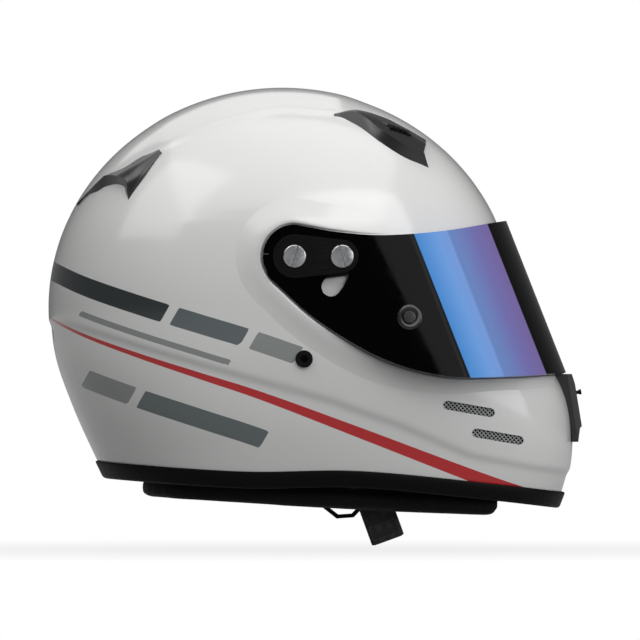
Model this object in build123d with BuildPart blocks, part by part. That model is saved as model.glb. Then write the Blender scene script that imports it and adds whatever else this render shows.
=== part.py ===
from build123d import *
import os
from math import cos, pi, radians, sin

os.makedirs("parts", exist_ok=True)

# Frame and overall form. X points forward, Y to the wearer's left, Z up, and the origin is the
# middle of the wearer's head. Sizes are in millimetres. The shell's plan section is an egg of two
# half superellipses about SHELL_CENTRE_X; its size changes with the height by the table below.
SHELL_CENTRE_X = -11.8
EQUATOR_Z = 3.6
CROWN_HALF_LENGTH = 151.0
CROWN_HEIGHT = 140.3
HALF_WIDTH = 122.0
BODY_DEPTH = 131.6
PLAN_POWER = 2.4
FRONT_VIEW_POWER = 2.2
SHELL_WALL = 4.0
GORES = 28
HIDDEN_GORES = 16
NUT_SIDES = 6

# Each row is a level: its height as a share of the crown height above the equator or of the body
# depth below it, then the reach to the front and to the rear as shares of the crown's half
# length, and the half width as a share of the greatest one.
LEVEL_SHARES = [
    (-1.080, 1.160, 0.660, 0.750),
    (-0.774, 1.245, 0.793, 0.861),
    (-0.496, 1.234, 0.902, 0.943),
    (-0.179, 1.111, 0.992, 0.996),
    (0.188, 1.000, 0.984, 0.988),
    (0.388, 0.921, 0.922, 0.942),
]
CROWN_ANGLES = (47.0, 70.0, 86.0)
HIDDEN_CROWN_ANGLES = (48.0, 76.0)

# Base and its rubber edge. The base line runs along the underside in side view, as shares of
# the crown's half length and height.
BASE_LINE_SHARES = [
    (-1.25, -0.745),
    (-0.824, -0.780),
    (-0.241, -0.820),
    (0.258, -0.818),
    (0.843, -0.880),
    (1.25, -0.937),
]
TRIM_HEIGHT = 11.0
TRIM_LIP = 3.0
TRIM_PROUD = 1.6
TRIM_DEPTH = 6.5
FIT_GAP = 0.1
RUN_GAP = 0.3

# Visor pivots and the stack of pieces on them, measured outwards from the middle plane.
PIVOT_X = -3.3
PIVOT_Z = 34.5
GUIDE_REACH = 30.6
VISOR_OPENING = 40.0
SEAT_Y = 123.5
VISOR_WALL = 2.2
VISOR_LEAN = 21.5
VISOR_FRONT = 146.0
VISOR_FRONT_RADIUS = 150.0
VISOR_SIDE_RADIUS = 90.0
VISOR_END_RADIUS = 20.5
PIVOT_BOSS_RADIUS = 7.9
GUIDE_BOSS_RADIUS = 5.5
SLOT_HALF_WIDTH = 6.0
BASE_PLATE_REAR_RADIUS = 17.0
BASE_PLATE_FRONT_RADIUS = 12.5
RATCHET_RADIUS = 12.0
RATCHET_THICKNESS = 1.6
RATCHET_WEB = 0.8
RATCHET_DOTS = 12
RATCHET_DOT_CIRCLE = 9.8
RATCHET_DOT_RADIUS = 0.6
LINK_THICKNESS = 1.8
LINK_FRONT_RADIUS = 10.5
LINK_REAR_RADIUS = 14.0
LINK_RECESS = 1.0
LINK_RIB_LENGTH = 6.0
LINK_RIB_WIDTH = 0.8
LINK_RIB_DEPTH = 0.5
SCREW_HEAD_RADIUS = 7.3
SCREW_HEAD_HEIGHT = 2.4
SCREW_HEAD_BEVEL = 0.6
SCREW_SHANK_RADIUS = 3.0
SCREW_SLOT_WIDTH = 1.0
SCREW_SLOT_DEPTH = 0.9
PIVOT_SLOT_TILT = -20.0
GUIDE_SLOT_TILT = 15.0
INSERT_BARREL_RADIUS = 4.4
INSERT_FLANGE_RADIUS = 8.0
INSERT_FLANGE = 1.5
INSERT_DEPTH = 12.0
POST_RADIUS = 4.0
POST_HEIGHT = 2.2
POST_SHARES = (0.468, -0.033)

# Visor outline in side view, rear to front, as shares of the crown's half length and height.
VISOR_TOP_SHARES = [(0.16, 0.358), (0.36, 0.343), (0.62, 0.364), (0.887, 0.413), (1.25, 0.470)]
VISOR_BOTTOM_SHARES = [
    (-0.134, 0.153),
    (0.073, -0.046),
    (0.351, -0.222),
    (0.616, -0.302),
    (0.878, -0.306),
    (1.25, -0.282),
]

# Eyeport, the opening in the shell behind the visor, and its rubber seal.
EYEPORT_SHARES = [
    (1.30, 0.345),
    (0.60, 0.282),
    (0.345, 0.270),
    (0.400, -0.130),
    (0.610, -0.240),
    (1.30, -0.222),
]
EYEPORT_CORNER = 16.0
SEAL_LIP = 3.0
SEAL_COVER = 4.5
SEAL_PROUD = 2.4
SEAL_DEPTH = 6.0

# Slots of the side vents in the chin bar, with their centres in side view, and the mesh in them.
SIDE_VENT_SPOT_SHARES = [(0.722, -0.455), (0.846, -0.583)]
SIDE_VENT_LENGTH = 34.0
SIDE_VENT_HEIGHT = 5.7
SIDE_VENT_TILT = -10.0
MESH_RECESS = 1.2
MESH_FLANGE = 2.0
MESH_FLANGE_THICKNESS = 1.2
MESH_PITCH = 4.2
MESH_ROW = 1.3
MESH_HOLE = 1.3
MESH_HOLES = 6

# Chin vent: a leaning housing on the front of the chin bar, with a shutter inside that a small
# peg moves, and a slotted grille in the shell behind it.
CHIN_VENT_HALF_WIDTH = 21.0
CHIN_VENT_TOP_Z = -41.6
CHIN_VENT_TOP_X = 176.5
CHIN_VENT_BROW_REACH = 2.1
CHIN_VENT_BROW_DROP = 6.6
CHIN_VENT_LEAN = 9.2
CHIN_VENT_FACE = 27.6
CHIN_VENT_STEP = 1.2
CHIN_VENT_HEIGHT = 44.0
CHIN_VENT_DEPTH = 30.0
CHIN_VENT_WALL = 2.0
CHIN_VENT_ROUND = 4.0
CHIN_MOUTH_WIDTH = 10.0
CHIN_MOUTH_HEIGHT = 6.0
CHIN_MOUTH_SPREAD = 9.5
CHIN_MOUTH_DROP = 5.5
SHUTTER_WIDTH = 33.0
SHUTTER_HEIGHT = 8.0
SHUTTER_THICKNESS = 1.2
SHUTTER_TRAVEL = 6.5
PEG_RADIUS = 1.2
PEG_HEAD_RADIUS = 1.7
PEG_REACH = 3.4
GRILLE_WIDTH = 28.0
GRILLE_HEIGHT = 9.0
GRILLE_Z = -58.0
GRILLE_SLOTS = 5
GRILLE_SLOT_WIDTH = 3.2
GRILLE_SLOT_HEIGHT = 6.0
GRILLE_RECESS = 0.8
GRILLE_THICKNESS = 2.0

# Crown vents, each on a plane that touches the crown at a place given as shares of the crown's
# half length and the half width; outlines are shares of the vent's length and half width.
FOREHEAD_PLACE_SHARES = (0.384, -0.385)
FOREHEAD_HEADING = 12.0
FOREHEAD_LENGTH = 66.0
FOREHEAD_HALF_WIDTH = 23.0
FOREHEAD_OUTLINE_SHARES = [
    (-0.62, -0.02),
    (-0.36, 0.36),
    (0.24, 0.92),
    (0.47, 1.00),
    (0.52, 0.55),
    (0.36, -0.10),
    (0.46, -0.75),
    (0.10, -0.97),
    (-0.28, -0.55),
]
FOREHEAD_SCOOP_SHARES = [
    (-0.40, 0.08),
    (0.20, 0.62),
    (0.42, 0.66),
    (0.32, -0.08),
    (0.37, -0.55),
    (0.06, -0.62),
]
FOREHEAD_RIM = 2.0
FOREHEAD_RISE = 5.2
AIR_HOLE_RADIUS = 4.0
SLIDER_LENGTH = 17.0
SLIDER_WIDTH = 8.0
SLIDER_THICKNESS = 2.2
SLIDER_TRAVEL = 7.0
SLIDER_START_SHARE = 0.02
SLIDER_SEAT = 3.4
SLIDER_GRIP = 1.6
SLIDER_GRIP_WIDTH = 2.0
REAR_PLACE_SHARES = (-0.780, -0.430)
REAR_HEADING = 180.0
REAR_LENGTH = 62.0
REAR_HALF_WIDTH = 36.0
REAR_OUTLINE_SHARES = [
    (-0.55, 0.25),
    (-0.29, -0.22),
    (0.06, -0.72),
    (0.50, -1.10),
    (0.22, -0.60),
    (0.05, -0.14),
    (0.03, 0.38),
    (0.10, 0.88),
    (-0.26, 0.70),
    (-0.52, 0.42),
]
REAR_RISE = 4.5
VENT_ROOT = 12.0

# Head-restraint anchors, M6, one each side.
ANCHOR_SHARES = (0.0185, -0.225)
ANCHOR_FLANGE_RADIUS = 5.6
ANCHOR_PROUD = 1.8
ANCHOR_BARREL_RADIUS = 4.4
ANCHOR_BORE_RADIUS = 2.5
ANCHOR_DEPTH = 12.0
POCKET_GAP = 1.0

# Lining: crushable foam, comfort pad, cheek pads and neck roll.
LINER_GAP = 0.4
LINER_THICKNESS = 34.0
COMFORT_THICKNESS = 10.0
LINER_EDGE_SHARES = [
    (-1.30, -0.560),
    (-0.20, -0.300),
    (0.30, -0.150),
    (1.30, -0.150),
    (1.30, 1.20),
    (-1.30, 1.20),
]
EYEPORT_MARGIN = 7.5
CHIN_FOAM_THICKNESS = 18.0
CHIN_FOAM_SHARES = [(0.66, -0.300), (1.30, -0.300), (1.30, -0.76), (0.70, -0.72)]
CHEEK_OUTLINE_SHARES = [
    (-0.300, -0.360),
    (0.330, -0.230),
    (0.580, -0.350),
    (0.600, -0.620),
    (0.300, -0.660),
    (-0.280, -0.655),
]
CHEEK_CORNER = 12.0
CHEEK_INNER_Y = 58.0
CHEEK_CROWN = 9.0
CHEEK_TAPER = 36.0
CHEEK_OUTER_Y = 92.0
ROLL_WIDTH = 19.0
ROLL_THICKNESS = 17.0
ROLL_ROUND = 7.0
ROLL_LEAN = 3.3
ROLL_FRONT_X = 122.0
ROLL_FRONT_Y = 58.0
ROLL_SIDE_X = 28.0
ROLL_SIDE_Y = 80.0
ROLL_REAR_X = -88.0
ROLL_TURN = 60.0
ROLL_CENTRE_Z = -120.0

# Chin straps: webbing from a plate on the shell's inner wall, past the cheek pad and down inside
# the neck roll. The right one ends free, the left one in a loop that holds two rings.
WEBBING_WIDTH = 22.0
WEBBING_THICKNESS = 1.8
STRAP_LEAN_RIGHT = 20.0
STRAP_LEAN_LEFT = 4.0
STRAP_ANCHOR_X = 24.0
STRAP_ANCHOR_Z = -58.0
STRAP_BEND_RADIUS = 8.0
STRAP_ROUTE = [(98.0, 24.0), (95.0, 42.0), (58.0, 55.0)]
STRAP_LENGTH_RIGHT = 96.0
STRAP_LENGTH_LEFT = 63.0
STRAP_HEM = 14.0
ANCHOR_PLATE_LENGTH = 30.0
ANCHOR_PLATE_HEIGHT = 14.0
ANCHOR_PLATE_THICKNESS = 1.5
RING_BAR_RADIUS = 1.2
RING_WIRE = 2.6
RING_HEIGHT = 15.0
RING_TOP = 0.5

# How far tools and carried outlines reach past what they cut.
OVERRUN = 60.0


def spot(x_share, z_share):
    """A point of the side view, from shares of the crown's half length and height."""
    return (x_share * CROWN_HALF_LENGTH, z_share * CROWN_HEIGHT)


def egg(height, front, rear, half_width, sides):
    """Points of a level plan section, by even steps of the superellipse's own angle."""
    points = []
    for i in range(sides):
        ahead = cos(2 * pi * i / sides)
        aside = sin(2 * pi * i / sides)
        along = (front if ahead > 0 else -rear) * abs(ahead) ** (2 / PLAN_POWER)
        across = (half_width if aside > 0 else -half_width) * abs(aside) ** (2 / PLAN_POWER)
        points.append((SHELL_CENTRE_X + along, across, height))
    return points


def level_rows(offset, level_shares, crown_angles):
    """Height, front, rear and half width of every level of the form, grown by an offset."""
    rows = []
    for height, front, rear, width in level_shares:
        span = CROWN_HEIGHT if height > 0 else BODY_DEPTH
        rows.append(
            (
                EQUATOR_Z + height * span,
                CROWN_HALF_LENGTH * front + offset,
                CROWN_HALF_LENGTH * rear + offset,
                HALF_WIDTH * width + offset,
            )
        )
    for angle in crown_angles:
        rise = sin(radians(angle))
        length = (CROWN_HALF_LENGTH + offset) * cos(radians(angle))
        width = (1 - rise**FRONT_VIEW_POWER) ** (1 / FRONT_VIEW_POWER)
        rows.append(
            (
                EQUATOR_Z + (CROWN_HEIGHT + offset) * rise,
                length,
                length,
                (HALF_WIDTH + offset) * width,
            )
        )
    return rows


def form(offset):
    """The helmet's outer form, grown by an offset, as smooth upright gores."""
    levels = []
    for row in level_rows(offset, LEVEL_SHARES, CROWN_ANGLES):
        with BuildSketch(Plane.XY.offset(row[0])) as level:
            with BuildLine():
                Polyline(*[(x, y) for x, y, z in egg(*row, GORES)], close=True)
            make_face()
        levels.append(level.sketch)
    with BuildPart() as body:
        loft(levels)
    return body.part


def hidden_form(offset):
    """The same form with flat facets, for faces that other pieces cover."""
    points = []
    for row in level_rows(offset, LEVEL_SHARES, HIDDEN_CROWN_ANGLES):
        points.extend(egg(*row, HIDDEN_GORES))
    with BuildPart() as body:
        ConvexPolyhedron(points)
    return body.part


def reach(body, x, z):
    """Distance of a body's surface from the middle plane, at a point of the side view."""
    crossings = body.find_intersection_points(Axis((x, 0, z), (0, -1, 0)))
    return max(abs(point.Y) for point, normal in crossings)


def finish(shape, name):
    """Labels a finished piece and writes it as the node of that name."""
    shape.label = name
    export_step(shape, f"parts/{name}.step")
    print(name, len(shape.solids()))


WIDE = 2 * CROWN_HALF_LENGTH

# Everything below the base line, a prism across the whole width.
with BuildPart() as below_base:
    with BuildSketch(Plane.XZ):
        with BuildLine():
            base_edge = Spline(*[spot(*share) for share in BASE_LINE_SHARES])
            Polyline(base_edge @ 1, (WIDE, -WIDE), (-WIDE, -WIDE), base_edge @ 0)
        make_face()
    extrude(amount=WIDE, both=True)


def below(height):
    """Everything lower than a line that runs parallel to the base line, above it by a height."""
    return below_base.part.moved(Location((0, 0, height)))


# Everything inside the visor's outline in side view.
with BuildSketch(Plane.XZ) as visor_outline:
    with BuildLine():
        top_edge = Spline(
            (PIVOT_X, PIVOT_Z + VISOR_END_RADIUS),
            *[spot(*share) for share in VISOR_TOP_SHARES],
            tangents=[(1, 0), spot(0.2, 0.03)],
        )
        bottom_edge = Spline(*[spot(*share) for share in VISOR_BOTTOM_SHARES])
        Line(top_edge @ 1, bottom_edge @ 1)
        ThreePointArc(
            top_edge @ 0,
            (PIVOT_X - VISOR_END_RADIUS, PIVOT_Z),
            bottom_edge @ 0,
        )
    make_face()

# The opening in the shell.
with BuildSketch(Plane.XZ) as eyeport_outline:
    with BuildLine():
        Polyline(*[spot(*share) for share in EYEPORT_SHARES], close=True)
    make_face()
    fillet(eyeport_outline.vertices().sort_by(Axis.X)[:4], EYEPORT_CORNER)


def prism(outline, grow=0.0):
    """A side view outline, grown by an amount and carried across the whole width."""
    with BuildPart() as carried:
        with BuildSketch(Plane.XZ):
            add(outline)
            if grow:
                offset(amount=grow, kind=Kind.ARC)
        extrude(amount=WIDE, both=True)
    return carried.part


def both_sides(piece):
    """A piece and its mirror image, as two solids of one node."""
    return Compound(children=[*piece.solids(), *mirror(piece, about=Plane.XZ).solids()])


def crown_plane(place_shares, heading):
    """The plane that touches the crown at a place, its X axis along a heading in plan."""
    x = place_shares[0] * CROWN_HALF_LENGTH
    y = place_shares[1] * HALF_WIDTH

    def depth(px, py, pz):
        rise = (pz - EQUATOR_Z) / CROWN_HEIGHT
        length = CROWN_HALF_LENGTH * (1 - rise**2) ** 0.5
        width = HALF_WIDTH * (1 - rise**FRONT_VIEW_POWER) ** (1 / FRONT_VIEW_POWER)
        return (
            abs((px - SHELL_CENTRE_X) / length) ** PLAN_POWER
            + abs(py / width) ** PLAN_POWER
            - 1
        )

    low, high = EQUATOR_Z, EQUATOR_Z + CROWN_HEIGHT * 0.999
    for _ in range(40):
        middle = (low + high) / 2
        low, high = (middle, high) if depth(x, y, middle) < 0 else (low, middle)
    step = HALF_WIDTH / 1000
    normal = Vector(
        depth(x + step, y, low) - depth(x - step, y, low),
        depth(x, y + step, low) - depth(x, y - step, low),
        depth(x, y, low + step) - depth(x, y, low - step),
    ).normalized()
    ahead = Vector(cos(radians(heading)), sin(radians(heading)), 0)
    ahead = (ahead - normal * ahead.dot(normal)).normalized()
    return Plane(origin=(x, y, low), x_dir=ahead, z_dir=normal)


def patch(plane, shares, length, half_width, grow=0.0):
    """A vent's outline on its plane, carried through the shell's surface."""
    with BuildPart() as carried:
        with BuildSketch(plane.offset(-VENT_ROOT)):
            with BuildLine():
                Polyline(*[(a * length, b * half_width) for a, b in shares], close=True)
            make_face()
            if grow:
                offset(amount=grow, kind=Kind.INTERSECTION)
        extrude(amount=3 * VENT_ROOT)
    return carried.part


# The shared bodies that pieces are cut with.
outer_form = form(0)
inner_form = hidden_form(-SHELL_WALL)
lining_form = hidden_form(-SHELL_WALL - LINER_GAP)
eyeport_cut = prism(eyeport_outline.sketch)

# Places on the right side, in side view.
pivot = (PIVOT_X, PIVOT_Z)
guide = (PIVOT_X + GUIDE_REACH, PIVOT_Z)
anchor = spot(*ANCHOR_SHARES)
boss_top = SEAT_Y + RUN_GAP + VISOR_WALL + RUN_GAP
head_seat = boss_top + LINK_THICKNESS - LINK_RECESS
insert_seat = min(
    reach(inner_form, x + turn * INSERT_FLANGE_RADIUS, z + rise * INSERT_FLANGE_RADIUS)
    for x, z in (pivot, guide)
    for turn, rise in ((0, 0), (1, 0), (-1, 0), (0, 1), (0, -1))
) - FIT_GAP
forehead_plane = crown_plane(FOREHEAD_PLACE_SHARES, FOREHEAD_HEADING)
rear_plane = crown_plane(REAR_PLACE_SHARES, REAR_HEADING)
slider_start = SLIDER_START_SHARE * FOREHEAD_LENGTH


# Rounds and slots that go through the shell from side to side.
with BuildSketch(Plane.XZ) as side_vent_outline:
    for share in SIDE_VENT_SPOT_SHARES:
        with Locations(spot(*share)):
            SlotOverall(SIDE_VENT_LENGTH, SIDE_VENT_HEIGHT, rotation=SIDE_VENT_TILT)

with BuildSketch(Plane.XZ) as insert_holes:
    with Locations(pivot, guide):
        RegularPolygon(INSERT_BARREL_RADIUS + FIT_GAP, NUT_SIDES)
    with Locations(anchor):
        RegularPolygon(ANCHOR_BARREL_RADIUS + FIT_GAP, NUT_SIDES)

with BuildPart() as grille_block:
    with BuildSketch(Plane.YZ):
        with Locations((0, GRILLE_Z)):
            Rectangle(GRILLE_WIDTH, GRILLE_HEIGHT)
    extrude(amount=WIDE)

with BuildPart() as air_holes:
    for plane in (forehead_plane, rear_plane):
        with BuildSketch(plane.offset(-VENT_ROOT)):
            Circle(AIR_HOLE_RADIUS)
        extrude(amount=2 * VENT_ROOT)

with BuildPart() as outer_shell:
    add(outer_form)
    add(inner_form, mode=Mode.SUBTRACT, clean=False)
    add(below(TRIM_LIP), mode=Mode.SUBTRACT, clean=False)
    add(eyeport_cut, mode=Mode.SUBTRACT, clean=False)
    add(prism(side_vent_outline.sketch), mode=Mode.SUBTRACT, clean=False)
    add(prism(insert_holes.sketch), mode=Mode.SUBTRACT, clean=False)
    add(grille_block.part, mode=Mode.SUBTRACT, clean=False)
    add(both_sides(air_holes.part), mode=Mode.SUBTRACT, clean=False)
finish(outer_shell.part, "outer_shell")

# The rubber edge that grips the shell's base, with the shell's own edge taken out of it.
with BuildPart() as gripped_wall:
    add(below(2 * TRIM_HEIGHT))
    add(below(TRIM_LIP), mode=Mode.SUBTRACT)
    add(outer_form, mode=Mode.INTERSECT, clean=False)
    add(inner_form, mode=Mode.SUBTRACT, clean=False)
with BuildPart() as base_trim:
    add(below(TRIM_HEIGHT))
    add(below(0), mode=Mode.SUBTRACT)
    add(form(TRIM_PROUD), mode=Mode.INTERSECT, clean=False)
    add(hidden_form(-TRIM_DEPTH), mode=Mode.SUBTRACT, clean=False)
    add(gripped_wall.part, mode=Mode.SUBTRACT, clean=False)
finish(base_trim.part, "base_trim")

# Visor: a sheet bent to a U in plan, carried straight along a leaning line and trimmed to its
# outline, with the pivot hole and the arc slot that the guide screw runs in.
visor_plane = Plane(
    origin=(0, 0, 0),
    x_dir=(cos(radians(VISOR_LEAN)), 0, sin(radians(VISOR_LEAN))),
    z_dir=(-sin(radians(VISOR_LEAN)), 0, cos(radians(VISOR_LEAN))),
)


def visor_section(inset, tail):
    """The U section filled to its middle, its wall face set in by an amount."""
    half = SEAT_Y + RUN_GAP + VISOR_WALL
    front_centre = VISOR_FRONT - VISOR_FRONT_RADIUS
    lean_in = VISOR_FRONT_RADIUS - VISOR_SIDE_RADIUS
    side_centre = front_centre + (lean_in**2 - (half - VISOR_SIDE_RADIUS) ** 2) ** 0.5
    along = (side_centre - front_centre) / lean_in
    aside = (half - VISOR_SIDE_RADIUS) / lean_in
    reach_out = VISOR_FRONT_RADIUS - inset
    turn = (front_centre + reach_out * along, reach_out * aside)
    middle = (
        side_centre + (VISOR_SIDE_RADIUS - inset) * ((1 - aside) / 2) ** 0.5,
        half - VISOR_SIDE_RADIUS + (VISOR_SIDE_RADIUS - inset) * ((1 + aside) / 2) ** 0.5,
    )
    with BuildSketch(visor_plane) as section:
        with BuildLine():
            Line((-tail, half - inset), (side_centre, half - inset))
            ThreePointArc((side_centre, half - inset), middle, turn)
            ThreePointArc(turn, (front_centre + reach_out, 0), (turn[0], -turn[1]))
            ThreePointArc(
                (turn[0], -turn[1]),
                (middle[0], -middle[1]),
                (side_centre, inset - half),
            )
            Line((side_centre, inset - half), (-tail, inset - half))
            Line((-tail, inset - half), (-tail, half - inset))
        make_face()
    return section.sketch


with BuildLine() as guide_run:
    CenterArc(pivot, GUIDE_REACH, -VISOR_OPENING, VISOR_OPENING)
with BuildPart() as visor:
    with BuildSketch(visor_plane):
        add(visor_section(0, WIDE))
        add(visor_section(VISOR_WALL, 2 * WIDE), mode=Mode.SUBTRACT)
    extrude(amount=WIDE, both=True)
    add(prism(visor_outline.sketch), mode=Mode.INTERSECT)
    with BuildSketch(Plane.XZ):
        with Locations(pivot):
            Circle(PIVOT_BOSS_RADIUS + RUN_GAP)
        SlotArc(guide_run.edge(), 2 * SLOT_HALF_WIDTH)
    extrude(amount=WIDE, both=True, mode=Mode.SUBTRACT)
finish(visor.part, "visor")

# The rubber seal round the eyeport, with a lip that the visor closes on.
with BuildPart() as eyeport_wall:
    add(prism(eyeport_outline.sketch, 2 * SEAL_COVER))
    add(eyeport_cut, mode=Mode.SUBTRACT)
    add(outer_form, mode=Mode.INTERSECT, clean=False)
    add(inner_form, mode=Mode.SUBTRACT, clean=False)
with BuildPart() as eyeport_seal:
    add(prism(eyeport_outline.sketch, SEAL_COVER))
    add(prism(eyeport_outline.sketch, -SEAL_LIP), mode=Mode.SUBTRACT)
    add(form(SEAL_PROUD), mode=Mode.INTERSECT, clean=False)
    add(hidden_form(-SEAL_DEPTH), mode=Mode.SUBTRACT, clean=False)
    add(eyeport_wall.part, mode=Mode.SUBTRACT, clean=False)
    with BuildSketch(visor_plane):
        add(visor_section(VISOR_WALL + RUN_GAP, WIDE))
    extrude(amount=WIDE, both=True, mode=Mode.INTERSECT)
finish(eyeport_seal.part, "eyeport_seal")

# Base plate between shell and visor, with the boss the visor turns on and the boss in its slot.
with BuildPart() as base_plate:
    with BuildSketch(Plane.XZ.offset(SEAT_Y)):
        with Locations(pivot):
            Circle(BASE_PLATE_REAR_RADIUS)
        with Locations(guide):
            Circle(BASE_PLATE_FRONT_RADIUS)
        make_hull()
    extrude(amount=-OVERRUN / 4)
    add(outer_form, mode=Mode.SUBTRACT)
    with BuildSketch(Plane.XZ.offset(SEAT_Y)):
        with Locations(pivot):
            Circle(PIVOT_BOSS_RADIUS)
        with Locations(guide):
            Circle(GUIDE_BOSS_RADIUS)
    extrude(amount=boss_top - SEAT_Y)
    with BuildSketch(Plane.XZ.offset(boss_top)):
        with Locations(pivot, guide):
            Circle(SCREW_SHANK_RADIUS + FIT_GAP)
    extrude(amount=-OVERRUN / 2, mode=Mode.SUBTRACT)

# Ratchet ring on the pivot boss: a web under the screw head and a rim with a ring of dots.
with BuildPart() as ratchet_ring:
    with BuildSketch(Plane.XZ.offset(boss_top)):
        with Locations(pivot):
            Circle(RATCHET_RADIUS)
    extrude(amount=RATCHET_THICKNESS)
    with BuildSketch(Plane.XZ.offset(head_seat)):
        with Locations(pivot):
            Circle(SCREW_HEAD_RADIUS + FIT_GAP)
    extrude(amount=LINK_THICKNESS, mode=Mode.SUBTRACT)
    with BuildSketch(Plane.XZ.offset(boss_top)):
        with Locations(pivot):
            Circle(SCREW_SHANK_RADIUS + FIT_GAP)
    extrude(amount=LINK_THICKNESS, mode=Mode.SUBTRACT)
    with BuildSketch(Plane.XZ.offset(boss_top + RATCHET_THICKNESS)):
        with Locations(pivot):
            with PolarLocations(RATCHET_DOT_CIRCLE, RATCHET_DOTS):
                RegularPolygon(RATCHET_DOT_RADIUS, 4)
    extrude(amount=-RATCHET_DOT_RADIUS, mode=Mode.SUBTRACT)

# Link plate over the visor: it joins the two screws and has short ribs between them.
with BuildPart() as link_plate:
    with BuildSketch(Plane.XZ.offset(boss_top)):
        with Locations(pivot):
            Circle(LINK_REAR_RADIUS)
        with Locations(guide):
            Circle(LINK_FRONT_RADIUS)
        make_hull()
        with Locations(pivot):
            Circle(RATCHET_RADIUS + FIT_GAP, mode=Mode.SUBTRACT)
        with Locations(guide):
            Circle(SCREW_SHANK_RADIUS + FIT_GAP, mode=Mode.SUBTRACT)
    extrude(amount=LINK_THICKNESS)
    with BuildSketch(Plane.XZ.offset(head_seat)):
        with Locations(guide):
            Circle(SCREW_HEAD_RADIUS + FIT_GAP)
    extrude(amount=LINK_THICKNESS, mode=Mode.SUBTRACT)
    with BuildSketch(Plane.XZ.offset(boss_top + LINK_THICKNESS)):
        with Locations((PIVOT_X + (RATCHET_RADIUS + GUIDE_REACH - SCREW_HEAD_RADIUS) / 2, PIVOT_Z)):
            with GridLocations(0, LINK_FRONT_RADIUS / 2, 1, 4):
                Rectangle(LINK_RIB_LENGTH, LINK_RIB_WIDTH)
    extrude(amount=LINK_RIB_DEPTH)


def screw(place, tilt):
    """A slotted pan head screw on the outside of the stack, its slot turned by a tilt."""
    with BuildPart() as turned:
        with BuildSketch(Plane.XZ.offset(insert_seat - INSERT_FLANGE)):
            with Locations(place):
                Circle(SCREW_SHANK_RADIUS)
        extrude(amount=head_seat - insert_seat + INSERT_FLANGE)
        with BuildSketch(Plane.XZ.offset(head_seat)):
            with Locations(place):
                Circle(SCREW_HEAD_RADIUS)
        extrude(amount=SCREW_HEAD_HEIGHT)
        chamfer(turned.edges().group_by(Axis.Y)[0], SCREW_HEAD_BEVEL)
        with BuildSketch(Plane.XZ.offset(head_seat + SCREW_HEAD_HEIGHT)):
            with Locations(place):
                Rectangle(SCREW_SLOT_WIDTH, 2 * SCREW_HEAD_RADIUS, rotation=tilt)
        extrude(amount=-SCREW_SLOT_DEPTH, mode=Mode.SUBTRACT)
    return turned.part


pivot_screw = screw(pivot, PIVOT_SLOT_TILT)
guide_screw = screw(guide, GUIDE_SLOT_TILT)

# Threaded inserts that the screws pull against, flanged behind the shell.
with BuildPart() as one_insert_pair:
    with BuildSketch(Plane.XZ.offset(insert_seat)):
        with Locations(pivot, guide):
            RegularPolygon(INSERT_FLANGE_RADIUS, NUT_SIDES)
    extrude(amount=-INSERT_FLANGE)
    with BuildSketch(Plane.XZ.offset(insert_seat)):
        with Locations(pivot, guide):
            RegularPolygon(INSERT_BARREL_RADIUS, NUT_SIDES)
    extrude(amount=SHELL_WALL)
    with BuildSketch(Plane.XZ.offset(insert_seat - INSERT_FLANGE)):
        with Locations(pivot, guide):
            Circle(SCREW_SHANK_RADIUS + FIT_GAP / 2)
    extrude(amount=OVERRUN, mode=Mode.SUBTRACT)

# M6 anchor for a head restraint: a flange on the shell and a threaded barrel through it.
with BuildPart() as restraint_anchor:
    anchor_skin = reach(outer_form, *anchor)
    with BuildSketch(Plane.XZ.offset(anchor_skin - SHELL_WALL / 2)):
        with Locations(anchor):
            Circle(ANCHOR_FLANGE_RADIUS)
    extrude(amount=SHELL_WALL / 2 + ANCHOR_PROUD)
    add(outer_form, mode=Mode.SUBTRACT)
    with BuildSketch(Plane.XZ.offset(anchor_skin - ANCHOR_DEPTH)):
        with Locations(anchor):
            RegularPolygon(ANCHOR_BARREL_RADIUS, NUT_SIDES)
    extrude(amount=ANCHOR_DEPTH + ANCHOR_PROUD)
    with BuildSketch(Plane.XZ.offset(anchor_skin - ANCHOR_DEPTH)):
        with Locations(anchor):
            Circle(ANCHOR_BORE_RADIUS)
    extrude(amount=ANCHOR_DEPTH + ANCHOR_PROUD, mode=Mode.SUBTRACT)

# Tear-off posts on the visor's sides.
post_spot = spot(*POST_SHARES)

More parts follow.
